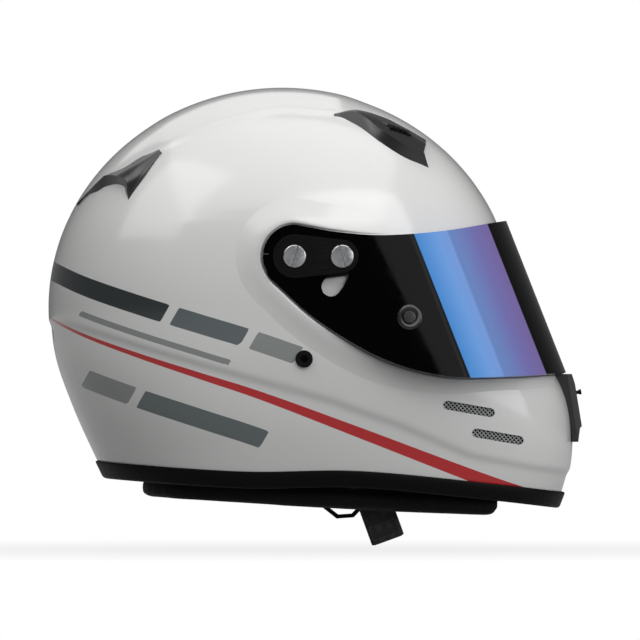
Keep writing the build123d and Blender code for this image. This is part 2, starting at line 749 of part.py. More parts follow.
# Mesh in the side vents: a plug in each slot, flanged behind the wall, with diamond holes.
with BuildPart() as mesh_flange:
    with BuildSketch(Plane.XZ.offset(OVERRUN)):
        for share in SIDE_VENT_SPOT_SHARES:
            with Locations(spot(*share)):
                Rectangle(
                    SIDE_VENT_LENGTH + MESH_FLANGE,
                    SIDE_VENT_HEIGHT + 2 * MESH_FLANGE,
                    rotation=SIDE_VENT_TILT,
                )
    extrude(amount=OVERRUN)
    add(hidden_form(-SHELL_WALL - FIT_GAP), mode=Mode.INTERSECT, clean=False)
    add(hidden_form(-SHELL_WALL - MESH_FLANGE_THICKNESS), mode=Mode.SUBTRACT, clean=False)
with BuildPart() as side_vent_mesh:
    with BuildSketch(Plane.XZ.offset(OVERRUN)):
        add(side_vent_outline.sketch)
        offset(amount=-FIT_GAP)
    extrude(amount=OVERRUN)
    add(form(-MESH_RECESS), mode=Mode.INTERSECT, clean=False)
    add(hidden_form(-SHELL_WALL - MESH_FLANGE_THICKNESS), mode=Mode.SUBTRACT, clean=False)
    add(mesh_flange.part, clean=False)
    with BuildSketch(Plane.XZ.offset(OVERRUN)):
        for share in SIDE_VENT_SPOT_SHARES:
            for row in (-1, 1):
                shift = row * MESH_PITCH / 4
                turn = radians(SIDE_VENT_TILT)
                x, z = spot(*share)
                centre = (
                    x + shift * cos(turn) - row * MESH_ROW * sin(turn),
                    z + shift * sin(turn) + row * MESH_ROW * cos(turn),
                )
                with Locations(Location((*centre, 0), (0, 0, SIDE_VENT_TILT))):
                    with GridLocations(MESH_PITCH, 0, MESH_HOLES, 1):
                        RegularPolygon(MESH_HOLE, 4)
    extrude(amount=OVERRUN, mode=Mode.SUBTRACT)

# Chin vent housing: its side profile carried across, hollowed from behind, with two mouths and a
# slot for the shutter's peg in its leaning face.
lean = radians(CHIN_VENT_LEAN)
brow = (CHIN_VENT_TOP_X + CHIN_VENT_BROW_REACH, CHIN_VENT_TOP_Z - CHIN_VENT_BROW_DROP)
face_end = (brow[0] + CHIN_VENT_FACE * sin(lean), brow[1] - CHIN_VENT_FACE * cos(lean))
vent_bottom = CHIN_VENT_TOP_Z - CHIN_VENT_HEIGHT
vent_back = CHIN_VENT_TOP_X - CHIN_VENT_DEPTH
face_plane = Plane(
    origin=(brow[0], 0, brow[1]),
    x_dir=(0, 1, 0),
    z_dir=(cos(lean), 0, sin(lean)),
)

with BuildPart() as chin_vent_housing:
    with BuildSketch(Plane.XZ):
        with BuildLine():
            Polyline(
                (vent_back, CHIN_VENT_TOP_Z),
                (CHIN_VENT_TOP_X, CHIN_VENT_TOP_Z),
                brow,
                face_end,
                (face_end[0] - CHIN_VENT_STEP, face_end[1] - CHIN_VENT_STEP),
                (face_end[0] - 2 * CHIN_VENT_STEP, vent_bottom),
                (vent_back, vent_bottom),
                close=True,
            )
        make_face()
    extrude(amount=CHIN_VENT_HALF_WIDTH, both=True)
    with BuildSketch(Plane(origin=face_plane.origin, x_dir=(0, 1, 0), z_dir=face_plane.y_dir)):
        with BuildLine():
            Polyline(
                (-CHIN_VENT_HALF_WIDTH, CHIN_VENT_DEPTH),
                (-CHIN_VENT_HALF_WIDTH, CHIN_VENT_ROUND),
                (CHIN_VENT_ROUND - CHIN_VENT_HALF_WIDTH, 0),
                (CHIN_VENT_HALF_WIDTH - CHIN_VENT_ROUND, 0),
                (CHIN_VENT_HALF_WIDTH, CHIN_VENT_ROUND),
                (CHIN_VENT_HALF_WIDTH, CHIN_VENT_DEPTH),
                close=True,
            )
        make_face()
    extrude(amount=2 * CHIN_VENT_HEIGHT, both=True, mode=Mode.INTERSECT)
    with BuildSketch(face_plane.offset(-CHIN_VENT_WALL)):
        with Locations((0, CHIN_VENT_WALL)):
            Rectangle(
                2 * (CHIN_VENT_HALF_WIDTH - CHIN_VENT_WALL * 2),
                CHIN_MOUTH_DROP * 2 + SHUTTER_TRAVEL + SHUTTER_HEIGHT,
                align=(Align.CENTER, Align.MAX),
            )
    extrude(amount=-CHIN_VENT_DEPTH, mode=Mode.SUBTRACT)
    with BuildSketch(face_plane):
        with Locations((0, -CHIN_MOUTH_DROP)):
            with GridLocations(2 * CHIN_MOUTH_SPREAD, 0, 2, 1):
                Rectangle(CHIN_MOUTH_WIDTH, CHIN_MOUTH_HEIGHT)
        with Locations((0, -CHIN_MOUTH_DROP - SHUTTER_TRAVEL / 2)):
            SlotOverall(
                SHUTTER_TRAVEL + 2 * (PEG_RADIUS + RUN_GAP),
                2 * (PEG_RADIUS + RUN_GAP),
                rotation=90,
            )
    extrude(amount=-2 * CHIN_VENT_WALL, mode=Mode.SUBTRACT)
    add(outer_form, mode=Mode.SUBTRACT)

# Shutter behind the mouths, moved by a peg that comes out through the slot.
with BuildPart() as chin_vent_shutter:
    with BuildSketch(face_plane.offset(-CHIN_VENT_WALL - RUN_GAP)):
        with Locations((0, -CHIN_MOUTH_DROP)):
            Rectangle(SHUTTER_WIDTH, SHUTTER_HEIGHT)
    extrude(amount=-SHUTTER_THICKNESS)
    with BuildSketch(face_plane.offset(-CHIN_VENT_WALL - RUN_GAP)):
        with Locations((0, -CHIN_MOUTH_DROP)):
            Circle(PEG_RADIUS)
    extrude(amount=CHIN_VENT_WALL + RUN_GAP + PEG_REACH)
    with BuildSketch(face_plane.offset(PEG_REACH - PEG_HEAD_RADIUS)):
        with Locations((0, -CHIN_MOUTH_DROP)):
            Circle(PEG_HEAD_RADIUS)
    extrude(amount=PEG_HEAD_RADIUS)

# Slotted grille in the shell's air intake.
with BuildPart() as chin_vent_grille:
    with BuildSketch(Plane.YZ.offset(OVERRUN)):
        with Locations((0, GRILLE_Z)):
            Rectangle(GRILLE_WIDTH - 2 * FIT_GAP, GRILLE_HEIGHT - 2 * FIT_GAP)
            with GridLocations(GRILLE_WIDTH / GRILLE_SLOTS, 0, GRILLE_SLOTS, 1):
                Rectangle(GRILLE_SLOT_WIDTH, GRILLE_SLOT_HEIGHT, mode=Mode.SUBTRACT)
    extrude(amount=WIDE)
    add(form(-GRILLE_RECESS), mode=Mode.INTERSECT, clean=False)
    add(form(-GRILLE_RECESS - GRILLE_THICKNESS), mode=Mode.SUBTRACT, clean=False)

# Forehead vent: a thin rim on the crown, a raised scoop with a flat seat for its slider, and an
# open mouth at the front.
seat_low = slider_start - SLIDER_LENGTH / 2 - SLIDER_TRAVEL - RUN_GAP
seat_high = slider_start + SLIDER_LENGTH / 2 + RUN_GAP
with BuildPart() as vent_rim:
    add(patch(forehead_plane, FOREHEAD_OUTLINE_SHARES, FOREHEAD_LENGTH, FOREHEAD_HALF_WIDTH))
    add(form(FOREHEAD_RIM), mode=Mode.INTERSECT, clean=False)
    add(outer_form, mode=Mode.SUBTRACT, clean=False)
with BuildPart() as forehead_vent:
    add(patch(forehead_plane, FOREHEAD_SCOOP_SHARES, FOREHEAD_LENGTH, FOREHEAD_HALF_WIDTH))
    add(form(FOREHEAD_RISE), mode=Mode.INTERSECT, clean=False)
    add(outer_form, mode=Mode.SUBTRACT, clean=False)
    add(vent_rim.part, clean=False)
    with BuildSketch(forehead_plane.offset(SLIDER_SEAT)):
        with Locations(((seat_low + seat_high) / 2, 0)):
            Rectangle(seat_high - seat_low, SLIDER_WIDTH + 2 * RUN_GAP)
    extrude(amount=VENT_ROOT, mode=Mode.SUBTRACT)
with BuildPart() as forehead_slider:
    with BuildSketch(forehead_plane.offset(SLIDER_SEAT + RUN_GAP)):
        with Locations((slider_start, 0)):
            Rectangle(SLIDER_LENGTH, SLIDER_WIDTH)
    extrude(amount=SLIDER_THICKNESS)
    with BuildSketch(forehead_plane.offset(SLIDER_SEAT + RUN_GAP + SLIDER_THICKNESS)):
        with Locations((slider_start, 0)):
            with GridLocations(2 * SLIDER_GRIP_WIDTH, 0, 3, 1):
                Rectangle(SLIDER_GRIP_WIDTH, SLIDER_WIDTH - 2 * SLIDER_GRIP)
    extrude(amount=SLIDER_GRIP)

# Rear extractor: an arched horn on the back of the crown.
with BuildPart() as rear_vent:
    add(patch(rear_plane, REAR_OUTLINE_SHARES, REAR_LENGTH, REAR_HALF_WIDTH))
    add(form(REAR_RISE), mode=Mode.INTERSECT, clean=False)
    add(outer_form, mode=Mode.SUBTRACT, clean=False)

# Tear-off post on the visor's side, a short round on the sheet's outer face.
with BuildPart() as tear_off_post:
    with BuildSketch(Plane.XZ.offset(OVERRUN)):
        with Locations(post_spot):
            Circle(POST_RADIUS)
    extrude(amount=2 * OVERRUN)
    with BuildSketch(visor_plane):
        add(visor_section(-POST_HEIGHT, WIDE))
    extrude(amount=WIDE, both=True, mode=Mode.INTERSECT)
    with BuildSketch(visor_plane):
        add(visor_section(0, WIDE))
    extrude(amount=WIDE, both=True, mode=Mode.SUBTRACT)

# Crushable foam in the crown, with pockets round the fittings in the wall.
with BuildSketch(Plane.XZ) as liner_edge:
    with BuildLine():
        Polyline(*[spot(*share) for share in LINER_EDGE_SHARES], close=True)
    make_face()
with BuildSketch(Plane.XZ) as pocket_outline:
    with Locations(pivot, guide):
        RegularPolygon(INSERT_FLANGE_RADIUS + POCKET_GAP, NUT_SIDES)
    with Locations(anchor):
        RegularPolygon(ANCHOR_BARREL_RADIUS + POCKET_GAP, NUT_SIDES)
with BuildPart() as pocket_tool:
    with BuildSketch(Plane.XZ.offset(insert_seat - INSERT_FLANGE - ANCHOR_DEPTH)):
        add(pocket_outline.sketch)
    extrude(amount=OVERRUN)
with BuildPart() as crown_liner:
    add(prism(liner_edge.sketch))
    add(prism(eyeport_outline.sketch, EYEPORT_MARGIN), mode=Mode.SUBTRACT)
    add(lining_form, mode=Mode.INTERSECT, clean=False)
    add(hidden_form(-SHELL_WALL - LINER_GAP - LINER_THICKNESS), mode=Mode.SUBTRACT, clean=False)
    add(both_sides(pocket_tool.part), mode=Mode.SUBTRACT, clean=False)

# Comfort pad: a soft layer inside the crown foam.
pad_outside = -SHELL_WALL - LINER_GAP - LINER_THICKNESS - FIT_GAP
with BuildPart() as comfort_pad:
    add(prism(liner_edge.sketch, -FIT_GAP))
    add(prism(eyeport_outline.sketch, EYEPORT_MARGIN + COMFORT_THICKNESS), mode=Mode.SUBTRACT)
    add(hidden_form(pad_outside), mode=Mode.INTERSECT, clean=False)
    add(hidden_form(pad_outside - COMFORT_THICKNESS), mode=Mode.SUBTRACT, clean=False)

# Foam behind the chin bar, open behind its air intakes.
with BuildPart() as chin_liner:
    with BuildSketch(Plane.XZ):
        with BuildLine():
            Polyline(*[spot(*share) for share in CHIN_FOAM_SHARES], close=True)
        make_face()
    extrude(amount=WIDE, both=True)
    add(lining_form, mode=Mode.INTERSECT, clean=False)
    add(
        hidden_form(-SHELL_WALL - LINER_GAP - CHIN_FOAM_THICKNESS),
        mode=Mode.SUBTRACT,
        clean=False,
    )
    with BuildSketch(Plane.XZ):
        for share in SIDE_VENT_SPOT_SHARES:
            with Locations(spot(*share)):
                Rectangle(
                    SIDE_VENT_LENGTH + MESH_FLANGE + 2 * POCKET_GAP,
                    SIDE_VENT_HEIGHT + 2 * MESH_FLANGE + 2 * POCKET_GAP,
                    rotation=SIDE_VENT_TILT,
                )
    extrude(amount=WIDE, both=True, mode=Mode.SUBTRACT)
    with BuildSketch(Plane.YZ):
        with Locations((0, GRILLE_Z)):
            Rectangle(GRILLE_WIDTH, GRILLE_HEIGHT)
    extrude(amount=WIDE, mode=Mode.SUBTRACT)

# Cheek pad: a crowned cushion that fills out to the wall.
with BuildSketch(Plane.XZ) as cheek_outline:
    with BuildLine():
        Polyline(*[spot(*share) for share in CHEEK_OUTLINE_SHARES], close=True)
    make_face()
    fillet(cheek_outline.vertices(), CHEEK_CORNER)
with BuildPart() as cheek_pad:
    with BuildSketch(Plane.XZ.offset(CHEEK_INNER_Y + CHEEK_CROWN)):
        add(cheek_outline.sketch)
    extrude(amount=CHEEK_OUTER_Y - CHEEK_INNER_Y - CHEEK_CROWN)
    with BuildSketch(Plane.XZ.offset(CHEEK_INNER_Y + CHEEK_CROWN)):
        add(cheek_outline.sketch)
    extrude(amount=-CHEEK_CROWN, taper=CHEEK_TAPER)
    add(lining_form, mode=Mode.INTERSECT, clean=False)

# Neck roll: a chamfered section carried round a horseshoe that opens to the front.
roll_plane = Plane.XY.rotated((0, ROLL_LEAN, 0)).offset(ROLL_CENTRE_Z)
with BuildPart() as neck_roll:
    with BuildLine(roll_plane) as roll_line:
        FilletPolyline(
            (ROLL_FRONT_X, -ROLL_FRONT_Y),
            (ROLL_SIDE_X, -ROLL_SIDE_Y),
            (ROLL_REAR_X, -ROLL_SIDE_Y),
            (ROLL_REAR_X, ROLL_SIDE_Y),
            (ROLL_SIDE_X, ROLL_SIDE_Y),
            (ROLL_FRONT_X, ROLL_FRONT_Y),
            radius=ROLL_TURN,
        )
    with BuildSketch(
        Plane(origin=roll_line.line @ 0, x_dir=roll_plane.z_dir, z_dir=roll_line.line % 0)
    ) as roll_section:
        Rectangle(ROLL_THICKNESS, ROLL_WIDTH)
        chamfer(roll_section.vertices(), ROLL_ROUND / 2)
    sweep()

# Plate on the shell's inner wall that holds a strap.
plate_seat = min(
    reach(inner_form, STRAP_ANCHOR_X + x, STRAP_ANCHOR_Z + z)
    for x in (-ANCHOR_PLATE_LENGTH / 2, 0, ANCHOR_PLATE_LENGTH / 2)
    for z in (-ANCHOR_PLATE_HEIGHT / 2, 0, ANCHOR_PLATE_HEIGHT / 2)
)
plate_inside = plate_seat - ANCHOR_PLATE_THICKNESS
with BuildPart() as strap_anchor:
    with BuildSketch(Plane.XZ.offset(plate_inside)) as plate_outline:
        with Locations((STRAP_ANCHOR_X, STRAP_ANCHOR_Z)):
            Rectangle(ANCHOR_PLATE_LENGTH, ANCHOR_PLATE_HEIGHT)
        chamfer(plate_outline.vertices(), ANCHOR_PLATE_THICKNESS)
    extrude(amount=ANCHOR_PLATE_THICKNESS)

# Chin straps. Each lies in a plane that leans forward; along it the first size is the distance
# from the middle plane, the second the way down from the plate.
strap_outside = plate_inside - FIT_GAP - WEBBING_THICKNESS / 2
strap_exit = STRAP_ROUTE[-1][0]


def strap_plane(lean, side):
    """The plane of a strap's path: X outwards on its side, Y down along the lean."""
    down = Vector(sin(radians(lean)), 0, -cos(radians(lean)))
    out = Vector(0, side, 0)
    return Plane(
        origin=(STRAP_ANCHOR_X, 0, STRAP_ANCHOR_Z),
        x_dir=out,
        z_dir=out.cross(down),
    )


def strap_path(length):
    """A strap's middle line: down the wall, in under the cheek pad and down again."""
    return FilletPolyline(
        (strap_outside, -ANCHOR_PLATE_HEIGHT / 2),
        (strap_outside, ANCHOR_PLATE_HEIGHT / 2),
        *STRAP_ROUTE,
        (strap_exit, length),
        radius=STRAP_BEND_RADIUS,
    )


with BuildPart() as chin_strap_right:
    with BuildSketch(strap_plane(STRAP_LEAN_RIGHT, -1)):
        with BuildLine():
            strap_path(STRAP_LENGTH_RIGHT)
        trace(line_width=WEBBING_THICKNESS)
        with Locations((strap_exit - WEBBING_THICKNESS, STRAP_LENGTH_RIGHT)):
            Rectangle(WEBBING_THICKNESS, STRAP_HEM, align=(Align.CENTER, Align.MAX))
    extrude(amount=WEBBING_WIDTH / 2, both=True)

ring_eye = (strap_exit, STRAP_LENGTH_LEFT)
eye_radius = RING_WIRE + RUN_GAP
with BuildPart() as chin_strap_left:
    with BuildSketch(strap_plane(STRAP_LEAN_LEFT, 1)):
        with BuildLine():
            strap_path(STRAP_LENGTH_LEFT)
        trace(line_width=WEBBING_THICKNESS)
        with Locations((strap_exit - WEBBING_THICKNESS, STRAP_LENGTH_LEFT)):
            Rectangle(WEBBING_THICKNESS, STRAP_HEM, align=(Align.CENTER, Align.MAX))
        with Locations(ring_eye):
            Circle(eye_radius + WEBBING_THICKNESS)
            Circle(eye_radius, mode=Mode.SUBTRACT)
    extrude(amount=WEBBING_WIDTH / 2, both=True)

# Two rings in the left strap's eye, side by side: a round bar with a bow below it.
ring_gap = RING_WIRE / 2 + RUN_GAP / 2


def ring(shift):
    """A ring on a bar shifted across the eye, hanging in line with the strap."""
    frame = strap_plane(STRAP_LEAN_LEFT, 1)
    inside = WEBBING_WIDTH / 2 + RUN_GAP
    with BuildPart() as bent:
        with BuildSketch(
            Plane(
                origin=frame.from_local_coords((strap_exit + shift, STRAP_LENGTH_LEFT, 0)),
                x_dir=frame.z_dir,
                z_dir=frame.x_dir,
            )
        ) as bow:
            with BuildLine():
                Polyline(
                    (-inside - RING_WIRE, RING_TOP),
                    (-inside - RING_WIRE, -RING_HEIGHT / 2),
                    (-inside / 2, -RING_HEIGHT),
                    (inside / 2, -RING_HEIGHT),
                    (inside + RING_WIRE, -RING_HEIGHT / 2),
                    (inside + RING_WIRE, RING_TOP),
                    close=True,
                )
            make_face()
            with BuildLine():
                Polyline(
                    (-inside, RING_TOP),
                    (-inside, -RING_HEIGHT / 2 + RING_WIRE / 2),
                    (-inside / 2 + RING_WIRE / 2, RING_WIRE - RING_HEIGHT),
                    (inside / 2 - RING_WIRE / 2, RING_WIRE - RING_HEIGHT),
                    (inside, -RING_HEIGHT / 2 + RING_WIRE / 2),
                    (inside, RING_TOP),
                    close=True,
                )
            make_face(mode=Mode.SUBTRACT)
        extrude(amount=RING_BAR_RADIUS, both=True)
        with BuildSketch(
            Plane(
                origin=frame.from_local_coords((strap_exit + shift, STRAP_LENGTH_LEFT, 0)),
                x_dir=frame.x_dir,
                z_dir=frame.z_dir,
            )
        ):
            Circle(RING_BAR_RADIUS)
        extrude(amount=inside + RING_WIRE / 2, both=True)
    return bent.part


# Nodes. A piece that both sides have alike is one node of two solids.
finish(both_sides(base_plate.part), "visor_base_plates")
finish(both_sides(ratchet_ring.part), "ratchet_rings")
finish(both_sides(link_plate.part), "link_plates")
finish(both_sides(pivot_screw), "pivot_screws")
finish(both_sides(guide_screw), "guide_screws")
finish(both_sides(one_insert_pair.part), "screw_inserts")
finish(both_sides(restraint_anchor.part), "restraint_anchors")
finish(both_sides(side_vent_mesh.part), "side_vent_meshes")
finish(chin_vent_housing.part, "chin_vent_housing")
finish(chin_vent_shutter.part, "chin_vent_shutter")
finish(chin_vent_grille.part, "chin_vent_grille")
finish(both_sides(forehead_vent.part), "forehead_vents")
finish(forehead_slider.part, "forehead_slider_right")
finish(mirror(forehead_slider.part, about=Plane.XZ), "forehead_slider_left")
finish(both_sides(rear_vent.part), "rear_vents")
finish(both_sides(tear_off_post.part), "tear_off_posts")
finish(crown_liner.part, "crown_liner")
finish(comfort_pad.part, "comfort_pad")
finish(chin_liner.part, "chin_liner")
finish(cheek_pad.part, "cheek_pad_right")
finish(mirror(cheek_pad.part, about=Plane.XZ), "cheek_pad_left")
finish(neck_roll.part, "neck_roll")
finish(both_sides(strap_anchor.part), "strap_anchors")
finish(chin_strap_right.part, "chin_strap_right")
finish(chin_strap_left.part, "chin_strap_left")
finish(ring(-ring_gap), "d_ring_inner")
finish(ring(ring_gap), "d_ring_outer")

# Places that the record's joints and mounts are taken from.
print("slider way", forehead_plane.x_dir * -1)
print("anchor face", anchor, reach(outer_form, *anchor) + ANCHOR_PROUD)
for shift in (-ring_gap, ring_gap):
    bar = strap_plane(STRAP_LEAN_LEFT, 1).from_local_coords(
        (strap_exit + shift, STRAP_LENGTH_LEFT, 0)
    )
    print("ring bar", bar, strap_plane(STRAP_LEAN_LEFT, 1).z_dir)
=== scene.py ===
# %% [markdown]
# # Auto racing helmet: the dressed model
# A car racing helmet is a stiff laminate shell under gloss paint, with a bent plastic visor on
# side pivots, moulded air scoops, a rubber edge, and foam, cloth and webbing inside. The packed
# CAD model is the frame and fixes each place and each joint. This script adds what the CAD
# solids can't show well, such as soft creases, swollen cloth and woven wire, and gives each
# piece its material. Lengths are in millimetres until a mesh is made.

# %% Tools and frame
import math

import bmesh
import bpy
import numpy as np
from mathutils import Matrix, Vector


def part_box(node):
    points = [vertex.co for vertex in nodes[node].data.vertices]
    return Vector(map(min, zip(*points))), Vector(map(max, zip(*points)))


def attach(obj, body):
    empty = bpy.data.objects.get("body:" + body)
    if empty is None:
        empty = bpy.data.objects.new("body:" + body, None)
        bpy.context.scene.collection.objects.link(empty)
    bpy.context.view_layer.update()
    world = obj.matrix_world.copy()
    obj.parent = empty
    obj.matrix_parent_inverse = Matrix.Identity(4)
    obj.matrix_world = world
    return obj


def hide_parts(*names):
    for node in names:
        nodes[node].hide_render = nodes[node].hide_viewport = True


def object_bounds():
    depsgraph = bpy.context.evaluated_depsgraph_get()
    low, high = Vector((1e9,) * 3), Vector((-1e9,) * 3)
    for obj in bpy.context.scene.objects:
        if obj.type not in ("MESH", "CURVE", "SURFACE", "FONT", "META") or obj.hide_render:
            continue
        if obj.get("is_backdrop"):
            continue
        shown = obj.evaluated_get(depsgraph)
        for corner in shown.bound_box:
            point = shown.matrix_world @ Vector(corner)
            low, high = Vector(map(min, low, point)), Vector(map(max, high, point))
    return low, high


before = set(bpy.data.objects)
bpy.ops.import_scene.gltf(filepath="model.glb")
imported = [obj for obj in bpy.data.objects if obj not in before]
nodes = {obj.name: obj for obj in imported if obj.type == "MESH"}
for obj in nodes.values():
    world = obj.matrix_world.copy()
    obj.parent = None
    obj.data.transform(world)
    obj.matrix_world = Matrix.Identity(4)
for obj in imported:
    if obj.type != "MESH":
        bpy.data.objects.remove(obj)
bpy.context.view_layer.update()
MM = 0.001
print("CAD nodes:", len(nodes))

# %% [markdown]
# ## Camera
# The picture shows the wearer's right side with next to no perspective. A camera with a very
# long lens, far away and level with the helmet's middle, gives the same. Its distance follows
# from the width that the frame spans at the helmet.

# %% Camera
FRAME_WIDTH = 416.0
LENS = 1000.0
SENSOR = 36.0
camera_data = bpy.data.cameras.new("camera")
camera_data.lens = LENS
camera_data.sensor_width = SENSOR
camera_data.clip_end = 100
camera = bpy.data.objects.new("camera", camera_data)
bpy.context.scene.collection.objects.link(camera)
distance = FRAME_WIDTH / SENSOR * LENS
camera.location = (0.013, -distance * MM, -0.0065)
camera.rotation_euler = (math.pi / 2, 0, 0)
bpy.context.scene.camera = camera
print(f"camera {distance * MM:.2f} m away")

# %% [markdown]
# ## The helmet's form
# The real shell comes from a mould that was shaped by hand. It could be sculpted here too, but a
# formula stays as smooth as a moulded skin, and every other piece can find its place on it. Each
# level is an egg: two half superellipses about one centre. Above the shoulder the sizes follow
# an ellipse in side view; below it they run smoothly through a table of levels.

# %% Sizes of the form
CENTRE_X = -11.8  # the form's middle, a little behind the head's middle
EQUATOR = 3.6  # height where the crown's ellipse has its middle
HALF_LENGTH = 151.0
HALF_WIDTH = 122.0
HEIGHT = 140.3  # crown over the equator
DEPTH = 131.6  # the unit for the levels below the equator
SHOULDER = 0.388  # share of the height above which the crown is an ellipse
PLAN_POWER = 2.4  # over 2, so that each level is fuller than an ellipse
FRONT_POWER = 2.2
# Each row: share of the height or depth, then front, rear and width as shares of the half sizes.
LEVELS = np.array(
    [
        (-1.080, 1.160, 0.660, 0.750),
        (-0.774, 1.245, 0.793, 0.861),
        (-0.496, 1.234, 0.902, 0.943),
        (-0.179, 1.111, 0.992, 0.996),
        (0.188, 1.000, 0.984, 0.988),
        (SHOULDER, 0.921, 0.922, 0.942),
        (0.560, 0.828, 0.828, 0.866),
    ]
)
print(f"crown {2 * HALF_LENGTH:.0f} mm long, {2 * HALF_WIDTH:.0f} mm wide; table of {len(LEVELS)} levels")

# %% The form as a function of turn and height


def through(rows, column, at):
    """A smooth curve through a table: Hermite pieces with the mean of the neighbours' slopes."""
    x, y = rows[:, 0], rows[:, column]
    slope = np.gradient(y, x)
    i = np.clip(np.searchsorted(x, at) - 1, 0, len(x) - 2)
    h = x[i + 1] - x[i]
    t = np.clip((at - x[i]) / h, 0, 1)
    return (
        (1 + 2 * t) * (1 - t) ** 2 * y[i]
        + t * (1 - t) ** 2 * h * slope[i]
        + t**2 * (3 - 2 * t) * y[i + 1]
        - t**2 * (1 - t) * h * slope[i + 1]
    )


def sizes_at(z, grow):
    """Front, rear and half width at a height: sqrt(1 - rise^2) on the crown, the table below."""
    share = np.where(z > EQUATOR, (z - EQUATOR) / HEIGHT, (z - EQUATOR) / DEPTH)
    rise = np.clip((z - EQUATOR) / (HEIGHT + grow), 0, 1)
    crown = np.sqrt(np.maximum(1 - rise**2, 0)) * (HALF_LENGTH + grow)
    crown_width = np.maximum(1 - rise**FRONT_POWER, 0) ** (1 / FRONT_POWER) * (HALF_WIDTH + grow)
    high = share > SHOULDER
    front = np.where(high, crown, through(LEVELS, 1, share) * HALF_LENGTH + grow)
    rear = np.where(high, crown, through(LEVELS, 2, share) * HALF_LENGTH + grow)
    width = np.where(high, crown_width, through(LEVELS, 3, share) * HALF_WIDTH + grow)
    return front, rear, width


def form(turn, z, grow):
    """Points of the form, grown by an amount: x, y = size * sign(c) |c|^(2/power) for cosine, sine."""
    front, rear, width = sizes_at(z, grow)
    c, s = np.cos(turn), np.sin(turn)
    x = CENTRE_X + np.where(c > 0, front, rear) * np.sign(c) * np.abs(c) ** (2 / PLAN_POWER)
    y = width * np.sign(s) * np.abs(s) ** (2 / PLAN_POWER)
    return np.stack([x, y, z + 0 * x], -1)


print("front of the equator:", np.round(form(np.zeros(1), np.full(1, EQUATOR), 0)[0], 1))

# %% Finding places on the form


def step(x):
    """0 below zero, 1 above one, 3x^2 - 2x^3 between."""
    x = np.clip(x, 0, 1)
    return x * x * (3 - 2 * x)


def within(p, grow):
    """Whether points lie inside the form grown by an amount: |X|^p + |Y|^p below one."""
    front, rear, width = sizes_at(p[:, 2], grow)
    ahead = np.abs(p[:, 0] - CENTRE_X) / np.maximum(np.where(p[:, 0] > CENTRE_X, front, rear), 1e-3)
    aside = np.abs(p[:, 1]) / np.maximum(width, 1e-3)
    return (ahead**PLAN_POWER + aside**PLAN_POWER < 1) & (p[:, 2] < EQUATOR + HEIGHT + grow)


def side_y(x, z, grow):
    """Half width of the form at a place of the side view: width (1 - |X|^p)^(1/p)."""
    front, rear, width = sizes_at(z, grow)
    ahead = np.abs(x - CENTRE_X) / np.where(x > CENTRE_X, front, rear)
    return width * np.maximum(1 - ahead**PLAN_POWER, 0) ** (1 / PLAN_POWER)


print(f"half width over the pivot: {side_y(np.array([0.0]), np.array([34.5]), 0)[0]:.1f} mm")

# %% [markdown]
# ## Outlines in side view
# The base, the visor's edges and the eyeport are trimmed along lines that show from the side.
# They could be drawn as many points, but a few points with a smooth curve through them stay
# fair, and they are the CAD model's own. The points are shares of the half length and height.

# %% Curves through a few points


def spot(shares):
    """Side view points from shares of the crown's half length and height."""
    return np.array(shares) * (HALF_LENGTH, HEIGHT)


def smooth(points, count):
    """A curve through points: Catmull-Rom pieces, sampled evenly from point to point."""
    p = np.vstack([2 * points[0] - points[1], points, 2 * points[-1] - points[-2]])
    t = np.linspace(0, len(points) - 1 - 1e-9, count)
    i = t.astype(int)
    f = (t - i)[:, None]
    a, b, c, d = p[i], p[i + 1], p[i + 2], p[i + 3]
    square = 2 * a - 5 * b + 4 * c - d
    return 0.5 * (2 * b + (c - a) * f + square * f**2 + (3 * b - a - 3 * c + d) * f**3)


def corner(a, b, c, radius, share, steps):
    """A round corner at b: (1-t)^2 start + 2t(1-t) b + t^2 end, no longer than a share of a side."""
    u, v = (a - b) / np.linalg.norm(a - b), (c - b) / np.linalg.norm(c - b)
    reach = min(radius, share * np.linalg.norm(a - b), share * np.linalg.norm(c - b))
    t = np.linspace(0, 1, steps)[:, None]
    return (1 - t) ** 2 * (b + u * reach) + 2 * t * (1 - t) * b + t**2 * (b + v * reach)


def rounded(points, radius):
    """A closed outline with a round corner at each point."""
    before, after = np.roll(points, 1, axis=0), np.roll(points, -1, axis=0)
    return np.vstack([corner(a, b, c, radius, 0.45, 8) for a, b, c in zip(before, points, after)])


def ring_outline(radius, centre=(0, 0), count=48):
    """A circle in side view: radius times cosine and sine."""
    turn = np.linspace(0, 2 * math.pi, count, endpoint=False)
    return np.stack([np.cos(turn), np.sin(turn)], -1) * radius + centre


square = np.array([(0, 0), (9, 0), (9, 9), (0, 9)])
print("points of a rounded square:", len(rounded(square, 2)))

# %% The outlines
PIVOT = np.array((-3.3, 34.5))
END_RADIUS = 20.5  # the visor's rear end is round about its pivot
BASE_SHARES = [(-1.25, -0.745), (-0.824, -0.780), (-0.241, -0.820)]
BASE_SHARES += [(0.258, -0.818), (0.843, -0.880), (1.25, -0.937)]
TOP_SHARES = [(0.16, 0.358), (0.36, 0.343), (0.62, 0.364), (0.887, 0.413), (1.25, 0.470)]
BOTTOM_SHARES = [(-0.134, 0.153), (0.073, -0.046), (0.351, -0.222)]
BOTTOM_SHARES += [(0.616, -0.302), (0.878, -0.306), (1.25, -0.282)]
PORT_SHARES = [(1.30, 0.345), (0.60, 0.282), (0.345, 0.270)]
PORT_SHARES += [(0.400, -0.130), (0.610, -0.240), (1.30, -0.222)]

